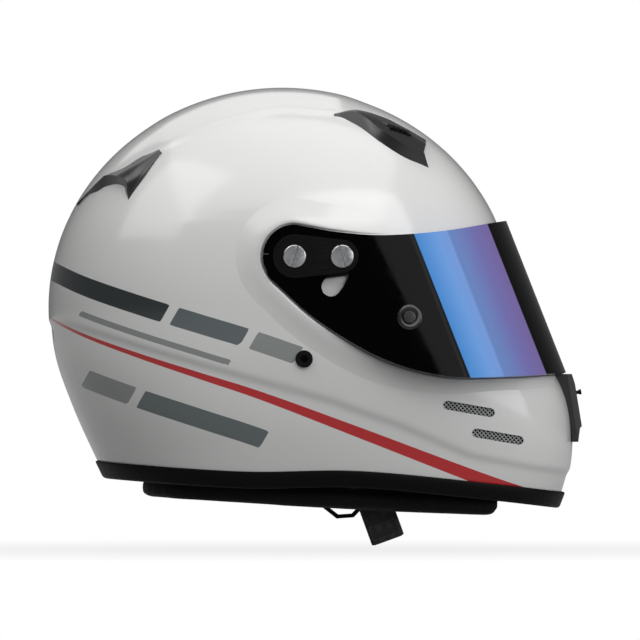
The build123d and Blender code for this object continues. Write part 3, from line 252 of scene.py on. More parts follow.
base_line = smooth(spot(BASE_SHARES), 60)
visor_top = smooth(np.vstack([PIVOT + (0, END_RADIUS), spot(TOP_SHARES)]), 50)
visor_bottom = smooth(spot(BOTTOM_SHARES), 50)
arc_turn = np.linspace(math.radians(220), math.radians(92), 16)
visor_rear = PIVOT + END_RADIUS * np.stack([np.cos(arc_turn), np.sin(arc_turn)], -1)
eyeport = rounded(spot(PORT_SHARES), 16)
print("eyeport outline:", len(eyeport), "points")

# %% [markdown]
# ## Mesh helpers
# A surface is a grid of points worked out by numpy, so one function turns points and faces into
# an object. Holes are cut by booleans, as a router cuts the real ones, because the grid then
# needn't follow each hole's edge.

# %% Points and faces


def coordinates(mesh):
    """A mesh's points as an array, in metres."""
    out = np.zeros(len(mesh.vertices) * 3)
    mesh.vertices.foreach_get("co", out)
    return out.reshape(-1, 3)


def tell(piece):
    """Prints a piece's name, its number of faces and its size."""
    place = coordinates(piece.data) / MM
    print(piece.name, len(piece.data.polygons), "faces", np.round(place.max(0) - place.min(0), 1), "mm")


def make(name, points, faces, soft=True):
    """A mesh object from points in millimetres."""
    mesh = bpy.data.meshes.new(name)
    places = [tuple(p) for p in np.asarray(points) * MM]
    mesh.from_pydata(places, [], [tuple(int(i) for i in f) for f in faces])
    mesh.update()
    made = bpy.data.objects.new(name, mesh)
    bpy.context.scene.collection.objects.link(made)
    if soft:
        mesh.polygons.foreach_set("use_smooth", [True] * len(mesh.polygons))
    return made


def grid_faces(rows, columns, round_columns=True, round_rows=False):
    """Faces of a grid of points, row by row, closed round the columns or the rows."""
    r = np.arange(rows if round_rows else rows - 1)
    c = np.arange(columns if round_columns else columns - 1)
    r, c = (a.ravel() for a in np.meshgrid(r, c, indexing="ij"))
    r2, c2 = (r + 1) % rows, (c + 1) % columns
    return np.stack([r * columns + c, r * columns + c2, r2 * columns + c2, r2 * columns + c], -1)


def walled_faces(rows, columns):
    """Faces of a grid, of a second grid behind it turned round, and of the wall along their rims."""
    grid = grid_faces(rows, columns, False)
    count = rows * columns
    index = np.arange(count).reshape(rows, columns)
    rim = np.concatenate([index[0], index[1:, -1], index[-1, -2::-1], index[-2:0:-1, 0]])
    after = np.roll(rim, -1)
    walls = np.stack([rim, after, after + count, rim + count], -1)
    return [*grid, *(grid[:, ::-1] + count), *walls]


# %% Normals, shading and edges


def outwards(piece, near=1e-6):
    """Merges points nearer than a distance in metres and points a closed mesh's faces outwards."""
    bm = bmesh.new()
    bm.from_mesh(piece.data)
    if near:
        bmesh.ops.remove_doubles(bm, verts=bm.verts, dist=near)
    bmesh.ops.recalc_face_normals(bm, faces=bm.faces)
    bm.to_mesh(piece.data)
    bm.free()


def shade(piece, angle):
    """Smooth shading that keeps edges sharper than an angle."""
    bpy.context.view_layer.objects.active = piece
    for other in bpy.context.selected_objects:
        other.select_set(False)
    piece.select_set(True)
    bpy.ops.object.shade_smooth_by_angle(angle=math.radians(angle))


def bevel(piece, width, angle):
    """A live bevel on edges sharper than an angle, so that they catch the light."""
    edge = piece.modifiers.new("edge", "BEVEL")
    edge.width = width * MM
    edge.segments = 2
    edge.limit_method = "ANGLE"
    edge.angle_limit = math.radians(angle)
    edge.harden_normals = True


print("defined outwards, shade and bevel")

# %% Cuts


def cut(piece, tool):
    """Takes a tool away from a piece by a boolean, and removes the tool."""
    change = piece.modifiers.new("cut", "BOOLEAN")
    change.operation = "DIFFERENCE"
    change.solver = "EXACT"
    change.object = tool
    bpy.context.view_layer.objects.active = piece
    bpy.ops.object.modifier_apply(modifier="cut")
    bpy.data.objects.remove(tool)


def prism(outline, low, high):
    """An outline in side view carried from one distance to another."""
    n = len(outline)
    front = np.stack([outline[:, 0], np.full(n, low), outline[:, 1]], -1)
    back = np.stack([outline[:, 0], np.full(n, high), outline[:, 1]], -1)
    sides = [(i, (i + 1) % n, n + (i + 1) % n, n + i) for i in range(n)]
    faces = [*sides, tuple(range(n))[::-1], tuple(range(n, 2 * n))]
    piece = make("tool", np.vstack([front, back]), faces, False)
    outwards(piece, 0)
    return piece


def cut_across(piece, outline, reach=200):
    """Cuts a hole with an outline in side view, from one side to the other."""
    cut(piece, prism(outline, -reach, reach))


print("defined cut, prism and cut_across")

# %% The form as a closed mesh


def closed_form(name, grow, columns, body_rows, crown_rows, bump=None):
    """The form on a grid of turn and height, raised along its normals by a bump, with two poles."""
    low = EQUATOR + LEVELS[0, 0] * DEPTH
    body = np.linspace(low, EQUATOR + SHOULDER * HEIGHT, body_rows)
    angle = np.linspace(math.asin(SHOULDER), math.pi / 2, crown_rows + 1)[1:-1]
    heights = np.concatenate([body, EQUATOR + (HEIGHT + grow) * np.sin(angle)])
    turn = np.linspace(0, 2 * math.pi, columns, endpoint=False)
    t, z = np.meshgrid(turn, heights)
    points = form(t, z, grow)
    if bump is not None:
        along = np.roll(points, -1, 1) - np.roll(points, 1, 1)
        normal = np.cross(along, np.gradient(points, axis=0))
        normal /= np.linalg.norm(normal, axis=-1, keepdims=True)
        points = points + normal * bump(points.reshape(-1, 3)).reshape(t.shape)[..., None]
    flat = points.reshape(-1, 3)
    count = len(flat)
    flat = np.vstack([flat, (CENTRE_X, 0, EQUATOR + HEIGHT + grow), (CENTRE_X, 0, low)])
    faces = [tuple(f) for f in grid_faces(len(heights), columns)]
    top = (len(heights) - 1) * columns
    faces += [(top + i, top + (i + 1) % columns, count) for i in range(columns)]
    faces += [((i + 1) % columns, i, count + 1) for i in range(columns)]
    return make(name, flat, faces)


print("defined closed_form")


# %% [markdown]
# ## Painted shell
# The real shell is cloth and resin laid in a mould, sanded, painted and lacquered. The CAD solid
# has its size but no creases. Bump in a material could hint at them, but they bend the
# outline and the reflections, so here they are real: one fine grid is raised along its normals,
# a ridge along the crown's sides and a crease along the lower body.

# %% Ridge and crease
CROWN_LINE = np.array(
    [(-150, 60), (-89.7, 103.4), (-68.3, 112.5), (-49.4, 120.3)]
    + [(-23.1, 127.4), (-9.8, 129.4), (22.1, 126.9), (60, 116)]
)
BODY_LINE = np.array(
    [(-150, -9), (-136.5, -13), (-91, -27.3), (-39, -42.3), (19.5, -58.5)]
    + [(65, -74.8), (110.5, -94.3), (149.5, -102), (190, -108)]
)
RIDGE_HEIGHT = 1.5
CREASE_DEPTH = 1.3


def shell_bump(p):
    """A step up over the crown line that fades as e^-x, and a step down that fades as e^-x^2."""
    over = p[:, 2] - np.interp(p[:, 0], CROWN_LINE[:, 0], CROWN_LINE[:, 1])
    run_of_ridge = step((p[:, 0] + 104) / 20) * step((46 - p[:, 0]) / 20)
    ridge = RIDGE_HEIGHT * step(over / 5 + 0.5) * np.exp(-np.maximum(over, 0) / 16) * run_of_ridge
    under = np.interp(p[:, 0], BODY_LINE[:, 0], BODY_LINE[:, 1]) - p[:, 2]
    crease = -CREASE_DEPTH * step(under / 6 + 0.5) * np.exp(-((np.maximum(under, 0) / 22) ** 2))
    return ridge + crease


print(f"ridge over the pivot: {shell_bump(np.array([(0.0, 0.0, 131.0)]))[0]:.2f} mm")


# %% Shell, hollowed and trimmed
SHELL_WALL = 4.0
SHELL_EDGE = 3.0  # the shell ends this far over the base line, inside the rubber channel
shell = closed_form("shell_painted", 0, 320, 110, 80, shell_bump)
cut(shell, closed_form("inner", -SHELL_WALL, 160, 60, 40))
cut_across(shell, np.vstack([base_line + (0, SHELL_EDGE), (300, -300), (-300, -300)]))
cut_across(shell, eyeport)
print("shell after its trimming:", len(shell.data.polygons), "faces")

# %% Side slots, chin window and anchor bores
SLOT_LENGTH, SLOT_HEIGHT, SLOT_TILT = 34.0, 5.7, -10.0
WINDOW = np.array([(130, -62.5), (250, -62.5), (250, -53.5), (130, -53.5)])
ANCHOR = (2.8, -31.6)


def turned_by(degrees):
    """The matrix that turns side view rows by an angle: cosine and sine, minus sine and cosine."""
    c, s = math.cos(math.radians(degrees)), math.sin(math.radians(degrees))
    return np.array([(c, s), (-s, c)])


def slot_outline(centre):
    """A slot with round ends: two half circles set apart, turned by the tilt."""
    turn = np.linspace(-math.pi / 2, math.pi / 2, 12)
    across = np.cos(turn) * SLOT_HEIGHT / 2 + (SLOT_LENGTH - SLOT_HEIGHT) / 2
    end = np.stack([across, np.sin(turn) * SLOT_HEIGHT / 2], -1)
    return np.vstack([end, -end]) @ turned_by(SLOT_TILT) + centre


side_slots = spot([(0.722, -0.455), (0.846, -0.583)])
for centre in side_slots:
    cut_across(shell, slot_outline(centre))
cut_across(shell, WINDOW, 14)
cut_across(shell, ring_outline(3.4, ANCHOR))
shade(shell, 35)
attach(shell, "shell")
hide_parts("outer_shell")
tell(shell)

# %% [markdown]
# ### Raised lip round the visor
# The mould rises round the visor's rear and lower edges, steeply beside the visor and softly
# away from it. It could be part of the shell's bump, but the shell's grid is too coarse for so
# steep a wall. So a profile is carried along the visor's outline, and its feet end in the shell.

# %% The lip's path


def lengths(path):
    """Distance from a path's start to each of its points."""
    return np.concatenate([[0], np.cumsum(np.linalg.norm(np.diff(path, axis=0), axis=1))])


def even(path, count):
    """Points at even distances along a path in space or in the plane."""
    length = lengths(path)
    at = np.linspace(0, length[-1], count)
    return np.stack([np.interp(at, length, path[:, k]) for k in range(path.shape[1])], -1)


LIP_STEPS = 320
top_run = visor_top[(visor_top[:, 0] > 0) & (visor_top[:, 0] < 70)][::-1]
low_run = visor_bottom[visor_bottom[:, 0] < 166]
lip_path = even(np.vstack([top_run, visor_rear[::-1], low_run[1:]]), 1500)
path_y = side_y(lip_path[:, 0], lip_path[:, 1], 0)
lip_path = even(np.stack([lip_path[:, 0], path_y, lip_path[:, 1]], -1), LIP_STEPS)[:, [0, 2]]
print(f"lip: {lengths(lip_path)[-1]:.0f} mm long in side view")

# %% The direction away from the visor, smoothed over nine points
ahead = np.gradient(lip_path, axis=0)
kernel = np.ones(9) / 9
ahead = np.stack([np.convolve(np.pad(ahead[:, k], 4, "edge"), kernel, "valid") for k in (0, 1)], -1)
ahead /= np.linalg.norm(ahead, axis=1, keepdims=True)
outward = np.stack([ahead[:, 1], -ahead[:, 0]], -1)
print("away from the visor at the lip's start:", np.round(outward[0], 2))

# %% The lip's profile and its two sides
# Each row: distance away from the visor's edge in mm, and share of the lip's height.
LIP_PROFILE = np.array(
    [(0.6, -0.5), (0.65, 0.25), (0.8, 0.6), (1.2, 0.88), (2.0, 1.0), (3.2, 1.0)]
    + [(5, 0.92), (8, 0.68), (11, 0.42), (14, 0.2), (17, 0.06), (21, -0.12)]
)
LIP_HEIGHT = 3.0
LIP_GAP = 0.6
run_share = np.linspace(0, 1, LIP_STEPS)
lip_height = LIP_HEIGHT * step(run_share / 0.25) * (1 - 0.45 * step((run_share - 0.6) / 0.4))
lip_width = 1 - 0.5 * step((run_share - 0.5) / 0.3)
spread = LIP_GAP + (LIP_PROFILE[None, :, :1] - LIP_GAP) * lip_width[:, None, None]
places = lip_path[:, None] + outward[:, None] * spread
rise = lip_height[:, None] * LIP_PROFILE[None, :, 1] - 0.12
rise[:, 0] = -1.5
for side, name in ((-1, "visor_lip_right"), (1, "visor_lip_left")):
    lip_y = side * side_y(places[..., 0], places[..., 1], rise)
    points = np.stack([places[..., 0], lip_y, places[..., 1]], -1).reshape(-1, 3)
    lip = make(name, points, grid_faces(LIP_STEPS, len(LIP_PROFILE), False)[:, ::side])
    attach(lip, "shell")
    tell(lip)

# %% [markdown]
# ## Visor
# A real visor is cut from flat sheet and bent, so its section is the same all along a leaning
# axis: flat sides, then two arcs. A shrunk or inflated shell would curve both ways and mirror
# light wrongly. The sheet is worked out over its length and its height, given its 2.2 mm wall,
# and cut for the pivot and for the arc slot that the guide boss runs in.

# %% Section and lean
VISOR_WALL = 2.2
VISOR_SIDE = 126.0  # half width over the flat sides
FLAT_END = 44  # the flat sides end this far forward, measured square to the lean
BEND_RADIUS = 90
FRONT_RADIUS = 150
FRONT_CENTRE = -4
MEET = (116, 90)  # where the two arcs meet: forward and half width
VISOR_LEAN = math.radians(21.5)
lean_cos, lean_sin = math.cos(VISOR_LEAN), math.sin(VISOR_LEAN)


def visor_section(steps):
    """The outer section, right rear to left rear: a flat side, then arcs of 90 and 150 mm."""
    flat = np.linspace(-40, FLAT_END, 40)[:-1]
    turn_low = math.atan2(MEET[1] - VISOR_SIDE + BEND_RADIUS, MEET[0] - FLAT_END)
    bend = np.linspace(math.pi / 2, turn_low, 30)[:-1]
    front = np.linspace(math.atan2(MEET[1], MEET[0] - FRONT_CENTRE), 0, steps)
    u_front = FRONT_CENTRE + FRONT_RADIUS * np.cos(front)
    u = np.concatenate([flat, FLAT_END + BEND_RADIUS * np.cos(bend), u_front])
    bend_y = VISOR_SIDE - BEND_RADIUS + BEND_RADIUS * np.sin(bend)
    y = np.concatenate([np.full(len(flat), VISOR_SIDE), bend_y, FRONT_RADIUS * np.sin(front)])
    return np.concatenate([u, u[-2::-1]]), np.concatenate([-y, y[-2::-1]])


def leaned(p):
    """Side view points in the visor's own axes: across the lean, and along it."""
    across = p[:, 0] * lean_cos + p[:, 1] * lean_sin
    return np.stack([across, p[:, 1] * lean_cos - p[:, 0] * lean_sin], -1)


print(f"visor {2 * VISOR_SIDE:.0f} mm wide, leaning {math.degrees(VISOR_LEAN):.1f} degrees")


# %% Edges of the sheet in its own axes
rear_turn = np.linspace(0, 2 * math.pi, 721)
rear_ring = leaned(PIVOT + END_RADIUS * np.stack([np.cos(rear_turn), np.sin(rear_turn)], -1))
rear_u = rear_ring[:, 0].min()
top_edge, low_edge = leaned(visor_top), leaned(visor_bottom)


def edge_at(u, edge, side):
    """Height of the visor's edge: the rear arc up to where the edge begins, then the edge's curve."""
    centre = leaned(PIVOT[None])[0]
    arc = centre[1] + side * np.sqrt(np.maximum(END_RADIUS**2 - (u - centre[0]) ** 2, 0))
    return np.where(u < edge[0, 0], arc, np.interp(u, edge[:, 0], edge[:, 1]))


print(f"the visor's rear end: {rear_u:.1f} mm across the lean")


# %% Columns of the grid, closer together at the rear end
u, y = visor_section(50)
keep = u > rear_u + 0.05
u, y = u[keep], y[keep]
fan = rear_u + (u[0] - rear_u) * np.array([0.01, 0.06, 0.2, 0.5])
u = np.concatenate([fan, u, fan[::-1]])
y = np.concatenate([np.full(4, y[0]), y, np.full(4, y[-1])])
tangent = np.stack([np.gradient(u), np.gradient(y)], -1)
tangent /= np.linalg.norm(tangent, axis=1, keepdims=True)
normal = np.stack([tangent[:, 1], -tangent[:, 0]], -1)
VISOR_ROWS = 48
visor_u, visor_y, visor_out = u, y, normal


def visor_sheet(inset):
    """The section moved in by an amount, carried from the lower edge to the upper one."""
    uu = np.repeat((visor_u - visor_out[:, 0] * inset)[:, None], VISOR_ROWS, 1)
    yy = np.repeat((visor_y - visor_out[:, 1] * inset)[:, None], VISOR_ROWS, 1)
    low, high = edge_at(visor_u, low_edge, -1), edge_at(visor_u, top_edge, 1)
    v = low[:, None] + (high - low)[:, None] * np.linspace(0, 1, VISOR_ROWS)
    return np.stack([uu * lean_cos - v * lean_sin, yy, uu * lean_sin + v * lean_cos], -1)


sheets = np.vstack([visor_sheet(inset).reshape(-1, 3) for inset in (0, VISOR_WALL)])
visor = make("visor_sheet", sheets, walled_faces(len(visor_u), VISOR_ROWS))
outwards(visor, 0.3 * MM)
print("visor grid:", len(visor_u), "by", VISOR_ROWS)

# %% Arc slot and pivot bore
GUIDE_REACH = 30.6
GUIDE_HALF = 6.2
PIVOT_BORE = 8.4


def arc_slot(start, stop):
    """A slot bent round the pivot: two arcs a slot's width apart, closed by half circles."""
    run_turn = np.radians(np.linspace(start, stop, 24))
    cap = np.linspace(0, math.pi, 12)[1:-1]

    def at(turn, radius):
        return PIVOT + radius * np.stack([np.cos(turn), np.sin(turn)], -1)

    def end(turn, middle_turn):
        middle = PIVOT + GUIDE_REACH * np.array([math.cos(middle_turn), math.sin(middle_turn)])
        return middle + GUIDE_HALF * np.stack([np.cos(turn - cap), np.sin(turn - cap)], -1)

    first, last = run_turn[0], run_turn[-1]
    far_side = at(run_turn, GUIDE_REACH + GUIDE_HALF)
    near_side = at(run_turn[::-1], GUIDE_REACH - GUIDE_HALF)
    # Known fault: the second cap has its middle on the pivot's other side, so the cut has a thin
    # tail from the slot to the visor's rear end. Its middle should be at first, not first + pi.
    return np.vstack([far_side, end(last, last), near_side, end(first + math.pi, first + math.pi)])


cut_across(visor, arc_slot(0.0, -40.0))
cut_across(visor, ring_outline(PIVOT_BORE, PIVOT))
shade(visor, 50)
bevel(visor, 0.5, 50)
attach(visor, "visor")
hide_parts("visor")
tell(visor)

# %% [markdown]
# ## Rubber edge of the base
# An extruded rubber channel is pushed over the shell's cut edge. A bevel on the shell couldn't
# give its rolled outer edge, so the channel's section is carried round the form along the base
# line, as the real one is led round the helmet.

# %% Section carried round the base
# Each row: distance outside the form and rise over the base line.
TRIM_SECTION = np.array(
    [(-0.2, 11), (1.0, 10.8), (1.6, 10.0), (1.6, 6), (1.6, 1.6), (1.1, 0.5), (0.0, 0.0)]
    + [(-3.4, 0), (-4.5, 0.5), (-4.9, 1.6), (-4.9, 10.0), (-4.3, 10.8), (-3.4, 11)]
)
TRIM_STEPS = 240


def round_base(turn, grow, rise):
    """Points round the form at a rise above the base line, found by repeated correction."""
    z = np.full(turn.shape, -110.0)
    for _ in range(12):
        x = form(turn, z, grow)[..., 0]
        z = np.interp(x, base_line[:, 0], base_line[:, 1]) + rise
    return form(turn, z, grow)


trim_turn = np.linspace(0, 2 * math.pi, TRIM_STEPS, endpoint=False)
trim_rows = np.stack([round_base(trim_turn, grow, rise) for grow, rise in TRIM_SECTION])
trim_faces = grid_faces(len(TRIM_SECTION), TRIM_STEPS, True, True)
trim = make("base_band", trim_rows.reshape(-1, 3), trim_faces)
outwards(trim)
shade(trim, 50)
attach(trim, "shell")
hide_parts("base_trim")
tell(trim)

# %% [markdown]
# ## Moulded and turned pieces
# These have the right form in CAD but knife edges, while a moulded or turned edge is always a
# little round and catches a line of light. Modelling them again would lose their fits, so each
# is a merged copy of its CAD solid with a small live bevel.

# %% Copies with soft edges


def merged(node, name):
    """A copy of a CAD node with its loose triangles merged and its flat faces joined."""
    mesh = nodes[node].data.copy()
    mesh.name = name
    made = bpy.data.objects.new(name, mesh)
    bpy.context.scene.collection.objects.link(made)
    mesh.materials.clear()
    bm = bmesh.new()
    bm.from_mesh(mesh)
    bmesh.ops.remove_doubles(bm, verts=bm.verts, dist=2e-6)
    bmesh.ops.dissolve_limit(bm, angle_limit=math.radians(0.6), verts=bm.verts, edges=bm.edges)
    bm.to_mesh(mesh)
    bm.free()
    return made


def softened(node, name, width, body, slot):
    """A CAD node's copy with its edges rounded by a width in millimetres."""
    made = merged(node, name)
    shade(made, 30)
    bevel(made, width, 30)
    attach(made, body)
    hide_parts(node)
    return made


print("defined merged and softened")

# %% The pieces: name, edge width, body and material slot
MOULDED = {
    "chin_vent_housing": ("chin_scoop", 0.7, "shell", "vent_lacquer"),
    "link_plates": ("pivot_covers", 0.3, "shell", "black_plastic"),
    "visor_base_plates": ("pivot_bases", 0.4, "shell", "black_plastic"),
    "ratchet_rings": ("ratchet_discs", 0.15, "shell", "black_plastic"),
    "chin_vent_shutter": ("chin_slide", 0.25, "chin_shutter", "black_plastic"),
    "chin_vent_grille": ("chin_grille", 0.25, "shell", "black_plastic"),
    "pivot_screws": ("pivot_bolts", 0.15, "shell", "screw_metal"),
    "guide_screws": ("guide_bolts", 0.15, "shell", "screw_metal"),
    "restraint_anchors": ("tether_posts", 0.3, "shell", "anchor_metal"),
    "tear_off_posts": ("film_posts", 0.3, "visor", "post_plastic"),
    "strap_anchors": ("strap_plates", 0.3, "shell", "plate_steel"),
    "d_ring_inner": ("ring_near", 0.5, "ring_inner", "ring_steel"),
    "d_ring_outer": ("ring_far", 0.5, "ring_outer", "ring_steel"),
}
dressed = {node: softened(node, *settings) for node, settings in MOULDED.items()}
print("softened pieces:", len(dressed))

# %% Slots of the screw heads, milled 1.9 mm deep
GUIDE = (27.3, 35.0)
SLOT_BAR = np.array([(-0.5, -8), (0.5, -8), (0.5, 8), (-0.5, 8)])
SLOT_DEPTH = 1.9
for node, tilt, at in (("pivot_screws", -20.0, PIVOT), ("guide_screws", 15.0, GUIDE)):
    bar = SLOT_BAR @ turned_by(tilt) + at
    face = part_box(node)[1][1] / MM
    for low, high in ((face - SLOT_DEPTH, face + 1), (-face - 1, SLOT_DEPTH - face)):
        cut(dressed[node], prism(bar, low, high))
    print(node, f"heads end {face:.1f} mm from the middle")

# %% [markdown]
# ## Washers, screens and backs
# Small pieces that the solids leave out or only stand in for. The side vents have woven wire
# before a dark panel, which is painted shade for the vent's inside: a picture of wire on a plate
# would look flat from the side, so the wires are thin tubes that cross at right angles and follow
# the shell's curve below its surface.

# %% Tubes, and many parts in one mesh


def tube(path, radius, sides=6):
    """A round tube along a path: rings of a radius, square to the path's own direction."""
    ahead = np.gradient(path, axis=0)
    ahead /= np.linalg.norm(ahead, axis=1, keepdims=True)
    up = np.where(np.abs(ahead[:, 2:]) > 0.9, (1.0, 0.0, 0.0), (0.0, 0.0, 1.0))
    aside = np.cross(ahead, up)
    aside /= np.linalg.norm(aside, axis=1, keepdims=True)
    up = np.cross(aside, ahead)
    turn = np.linspace(0, 2 * math.pi, sides, endpoint=False)
    ring = aside[:, None] * np.cos(turn)[:, None] + up[:, None] * np.sin(turn)[:, None]
    points = path[:, None] + ring * np.reshape(radius, (-1, 1, 1))
    return points.reshape(-1, 3), capped_faces(len(path), sides)


def capped_faces(rings, sides):
    """Faces of a tube of points, ring by ring, with a flat face at each end."""
    faces = [tuple(f) for f in grid_faces(rings, sides)]
    return faces + [tuple(range(sides))[::-1], tuple(range((rings - 1) * sides, rings * sides))]


def together(name, parts):
    """One mesh object from several sets of points and faces."""
    points, faces, start = [], [], 0
    for p, f in parts:
        points.append(p)
        faces += [tuple(i + start for i in face) for face in f]
        start += len(p)
    made = make(name, np.vstack(points), faces)
    outwards(made)
    return made


print("defined tube, capped_faces and together")

# %% Washers round the posts for tear-off films
POST = spot([(0.468, -0.033)])[0]
# Each row: radius and height over the visor.
WASHER_PROFILE = np.array(
    [(4.2, -0.2), (4.2, 0.5), (4.5, 0.7), (7.5, 0.7), (8.0, 0.55), (8.2, 0.2), (8.2, -0.2)]
)
places = POST + ring_outline(1, count=64) * WASHER_PROFILE[:, None, :1]
across = places[..., 0] * lean_cos + places[..., 1] * lean_sin
bent = np.sqrt(np.maximum(BEND_RADIUS**2 - (across - FLAT_END) ** 2, 0))
seat = np.where(across > FLAT_END, VISOR_SIDE - BEND_RADIUS + bent, VISOR_SIDE)
washers = []
for side in (-1, 1):
    washer_y = side * (seat + WASHER_PROFILE[:, None, 1])
    points = np.stack([places[..., 0], washer_y, places[..., 1]], -1).reshape(-1, 3)
    washers.append((points, grid_faces(len(WASHER_PROFILE), 64)))
washer = together("film_post_washers", washers)
shade(washer, 40)
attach(washer, "visor")
tell(washer)

# %% Woven wires of the side vents
WIRE_PITCH = 1.9
WIRE_RADIUS = 0.36
WIRE_SINK = 1.3
SCREEN_HALF = (18.0, 3.6)
TILT_COS, TILT_SIN = 0.985, 0.174  # cosine and sine of the slots' 10 degrees


def wire_run(centre, lean, k):
    """A straight wire in side view, the k-th from the middle, kept where it lies in the slot."""
    way = np.array([math.cos(math.radians(lean)), math.sin(math.radians(lean))])
    line = centre + np.array([-way[1], way[0]]) * k * WIRE_PITCH + way * np.linspace(-24, 24, 97)[:, None]
    local = np.abs((line - centre) @ np.array([(TILT_COS, TILT_SIN), (-TILT_SIN, TILT_COS)]))
    line = line[(local[:, 0] < SCREEN_HALF[0]) & (local[:, 1] < SCREEN_HALF[1])]
    return line[np.linspace(0, len(line) - 1, 4).astype(int)] if len(line) > 2 else None


screens = []
for centre in side_slots:
    for side in (-1, 1):
        for lean in (40, -50):
            for k in range(-13, 14):
                line = wire_run(centre, lean, k)
                if line is None:
                    continue
                wire_y = side * (side_y(line[:, 0], line[:, 1], 0) - WIRE_SINK - (lean > 0) * 0.5)
                screens.append(tube(np.stack([line[:, 0], wire_y, line[:, 1]], -1), WIRE_RADIUS, 5))
screen = together("vent_screens", screens)
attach(screen, "shell")
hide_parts("side_vent_meshes")
print("wires:", len(screens))

# %% Dark panels behind the wires, painted shade for the vent's inside
shade_panel_parts = []
for centre in side_slots:
    for side in (-1, 1):
        t, v = np.meshgrid(np.linspace(-19.5, 19.5, 14), np.linspace(-4.5, 4.5, 5))
        flat = centre + np.stack([t * TILT_COS + v * TILT_SIN, v * TILT_COS - t * TILT_SIN], -1)
        x, z = flat[..., 0], flat[..., 1]
        sheets = [np.stack([x, side * side_y(x, z, grow), z], -1).reshape(-1, 3) for grow in (-4.2, -5.6)]
        shade_panel_parts.append((np.vstack(sheets), walled_faces(5, 14)))
shade_panels = together("vent_shade_panels", shade_panel_parts)
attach(shade_panels, "shell")
tell(shade_panels)

# %% Black discs behind the anchor bores, painted shade for the bores' depth
ends = [np.array([(ANCHOR[0], side * y, ANCHOR[1]) for y in (110.0, 113.5)]) for side in (-1, 1)]
bore_shade_discs = together("anchor_bore_shade_discs", [tube(path, 4.6, 24) for path in ends])
shade(bore_shade_discs, 40)
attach(bore_shade_discs, "shell")
tell(bore_shade_discs)

# %% [markdown]
# ## Scoops on the crown
# Thin moulded scoops are glued over the crown's air holes. Their CAD solids stand a little high,
# and a bevel can't lower them. So each is a smooth skin through a few rows of places in side
# view, each with its height over the painted shell, closed by an underside inside the shell.

# %% A skin over the form
ALONG, ACROSS = 36, 25
UNDERSIDE = 2.0


def over_form(p):
    """Each point's place on the form straight towards its middle, by halving, and that ray."""
    centre = np.array([CENTRE_X, 0, EQUATOR])
    ray = p - centre
    low, high = np.full(len(p), 0.5), np.full(len(p), 1.5)
    for _ in range(24):
        middle = (low + high) / 2
        inside_now = within(centre + ray * middle[:, None], 0)
        low, high = np.where(inside_now, middle, low), np.where(inside_now, high, middle)
    return centre + ray * low[:, None], ray / np.linalg.norm(ray, axis=1)[:, None]


def skin_over(table, side, across_smooth):
    """Points through a table's rows and columns; the last row is the foot of the mouth."""
    y = side * side_y(table[..., 0], table[..., 1], table[..., 2])
    skin = np.stack([table[..., 0], y, table[..., 1]], -1)
    body = smooth(skin[:-1].reshape(len(skin) - 1, -1), ALONG).reshape(ALONG, -1, 3)
    body = np.concatenate([body, skin[-1:]])
    columns = skin.shape[1]
    turned = body.transpose(1, 0, 2).reshape(columns, -1)
    if across_smooth:
        return smooth(turned, ACROSS).reshape(-1, 3)
    at = np.linspace(0, columns - 1, ACROSS)
    straight = [np.interp(at, np.arange(columns), turned[:, k]) for k in range(turned.shape[1])]
    return np.stack(straight, -1).reshape(-1, 3)


def scoop(name, node, rows, across_smooth):
    """Both sides' skins with their undersides 2 mm inside the form, closed round the rim."""
    parts = []
    for side in (-1, 1):
        top = skin_over(np.array(rows, float), side, across_smooth)
        foot, way = over_form(top)
        parts.append((np.vstack([top, foot - way * UNDERSIDE]), walled_faces(ACROSS, ALONG + 1)))
    made = together(name, parts)
    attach(made, "shell")
    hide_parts(node)
    return made, parts


print("defined scoop")

# %% Rows of the scoops
# A row runs across the scoop. Each place in it: forwards, up, and height over the form.
BROW_ROWS = [
    [(22.6, 124.4, -0.6), (22.2, 126.0, 0.8), (22.2, 126.9, 0.8), (22.5, 127.6, -0.4)],
    [(36.0, 118.0, -0.6), (36.2, 128.2, 3.4), (36.4, 129.0, 2.8), (36.8, 129.9, -0.4)],
    [(52.0, 107.3, -0.6), (52.8, 116.3, 5.0), (54.5, 121.0, 3.6), (57.0, 125.0, -0.4)],
    [(67.7, 97.6, -0.6), (67.5, 107.1, 6.0), (69.0, 114.5, 4.0), (70.5, 120.3, -0.4)],
    [(83.6, 90.7, -0.6), (80.0, 101.9, 6.3), (81.4, 107.3, 4.2), (82.0, 112.4, -0.4)],
    [(83.4, 91.0, -1.5), (80.6, 102.6, -1.5), (81.6, 107.0, -1.5), (82.2, 112.0, -1.5)],
]
REAR_ROWS = [
    [(-89.6, 101.0, -0.6), (-89.7, 101.6, 0.9), (-89.9, 102.2, 1.4), (-90.2, 102.8, 1.6)]
    + [(-90.6, 103.3, 1.4), (-91.1, 103.8, 0.9), (-91.6, 104.2, -0.6)],
    [(-100.0, 85.3, -0.6), (-101.5, 87.5, 2.2), (-103.5, 90.0, 3.6), (-105.5, 92.2, 4.2)]
    + [(-107.3, 93.6, 3.8), (-108.8, 94.4, 2.2), (-109.9, 94.7, -0.6)],
    [(-110.4, 69.4, -0.6), (-111.6, 77.5, 2.8), (-112.4, 83.9, 5.2), (-118.3, 86.6, 6.0)]
    + [(-124.7, 87.1, 5.2), (-129.3, 84.5, 4.2), (-145.2, 68.6, 1.6)],
    [(-110.6, 69.6, -1.5), (-113.0, 75.0, -1.5), (-113.9, 78.4, -1.5), (-119.0, 80.0, -1.5)]
    + [(-127.0, 77.3, -1.5), (-134.0, 72.6, -1.5), (-144.0, 66.4, -1.5)],
]
brow_scoops, brow_parts = scoop("brow_scoops", "forehead_vents", BROW_ROWS, False)
rear_arches = scoop("rear_arches", "rear_vents", REAR_ROWS, True)[0]
print("brow scoops:", len(brow_scoops.data.polygons), "faces; rear:", len(rear_arches.data.polygons))

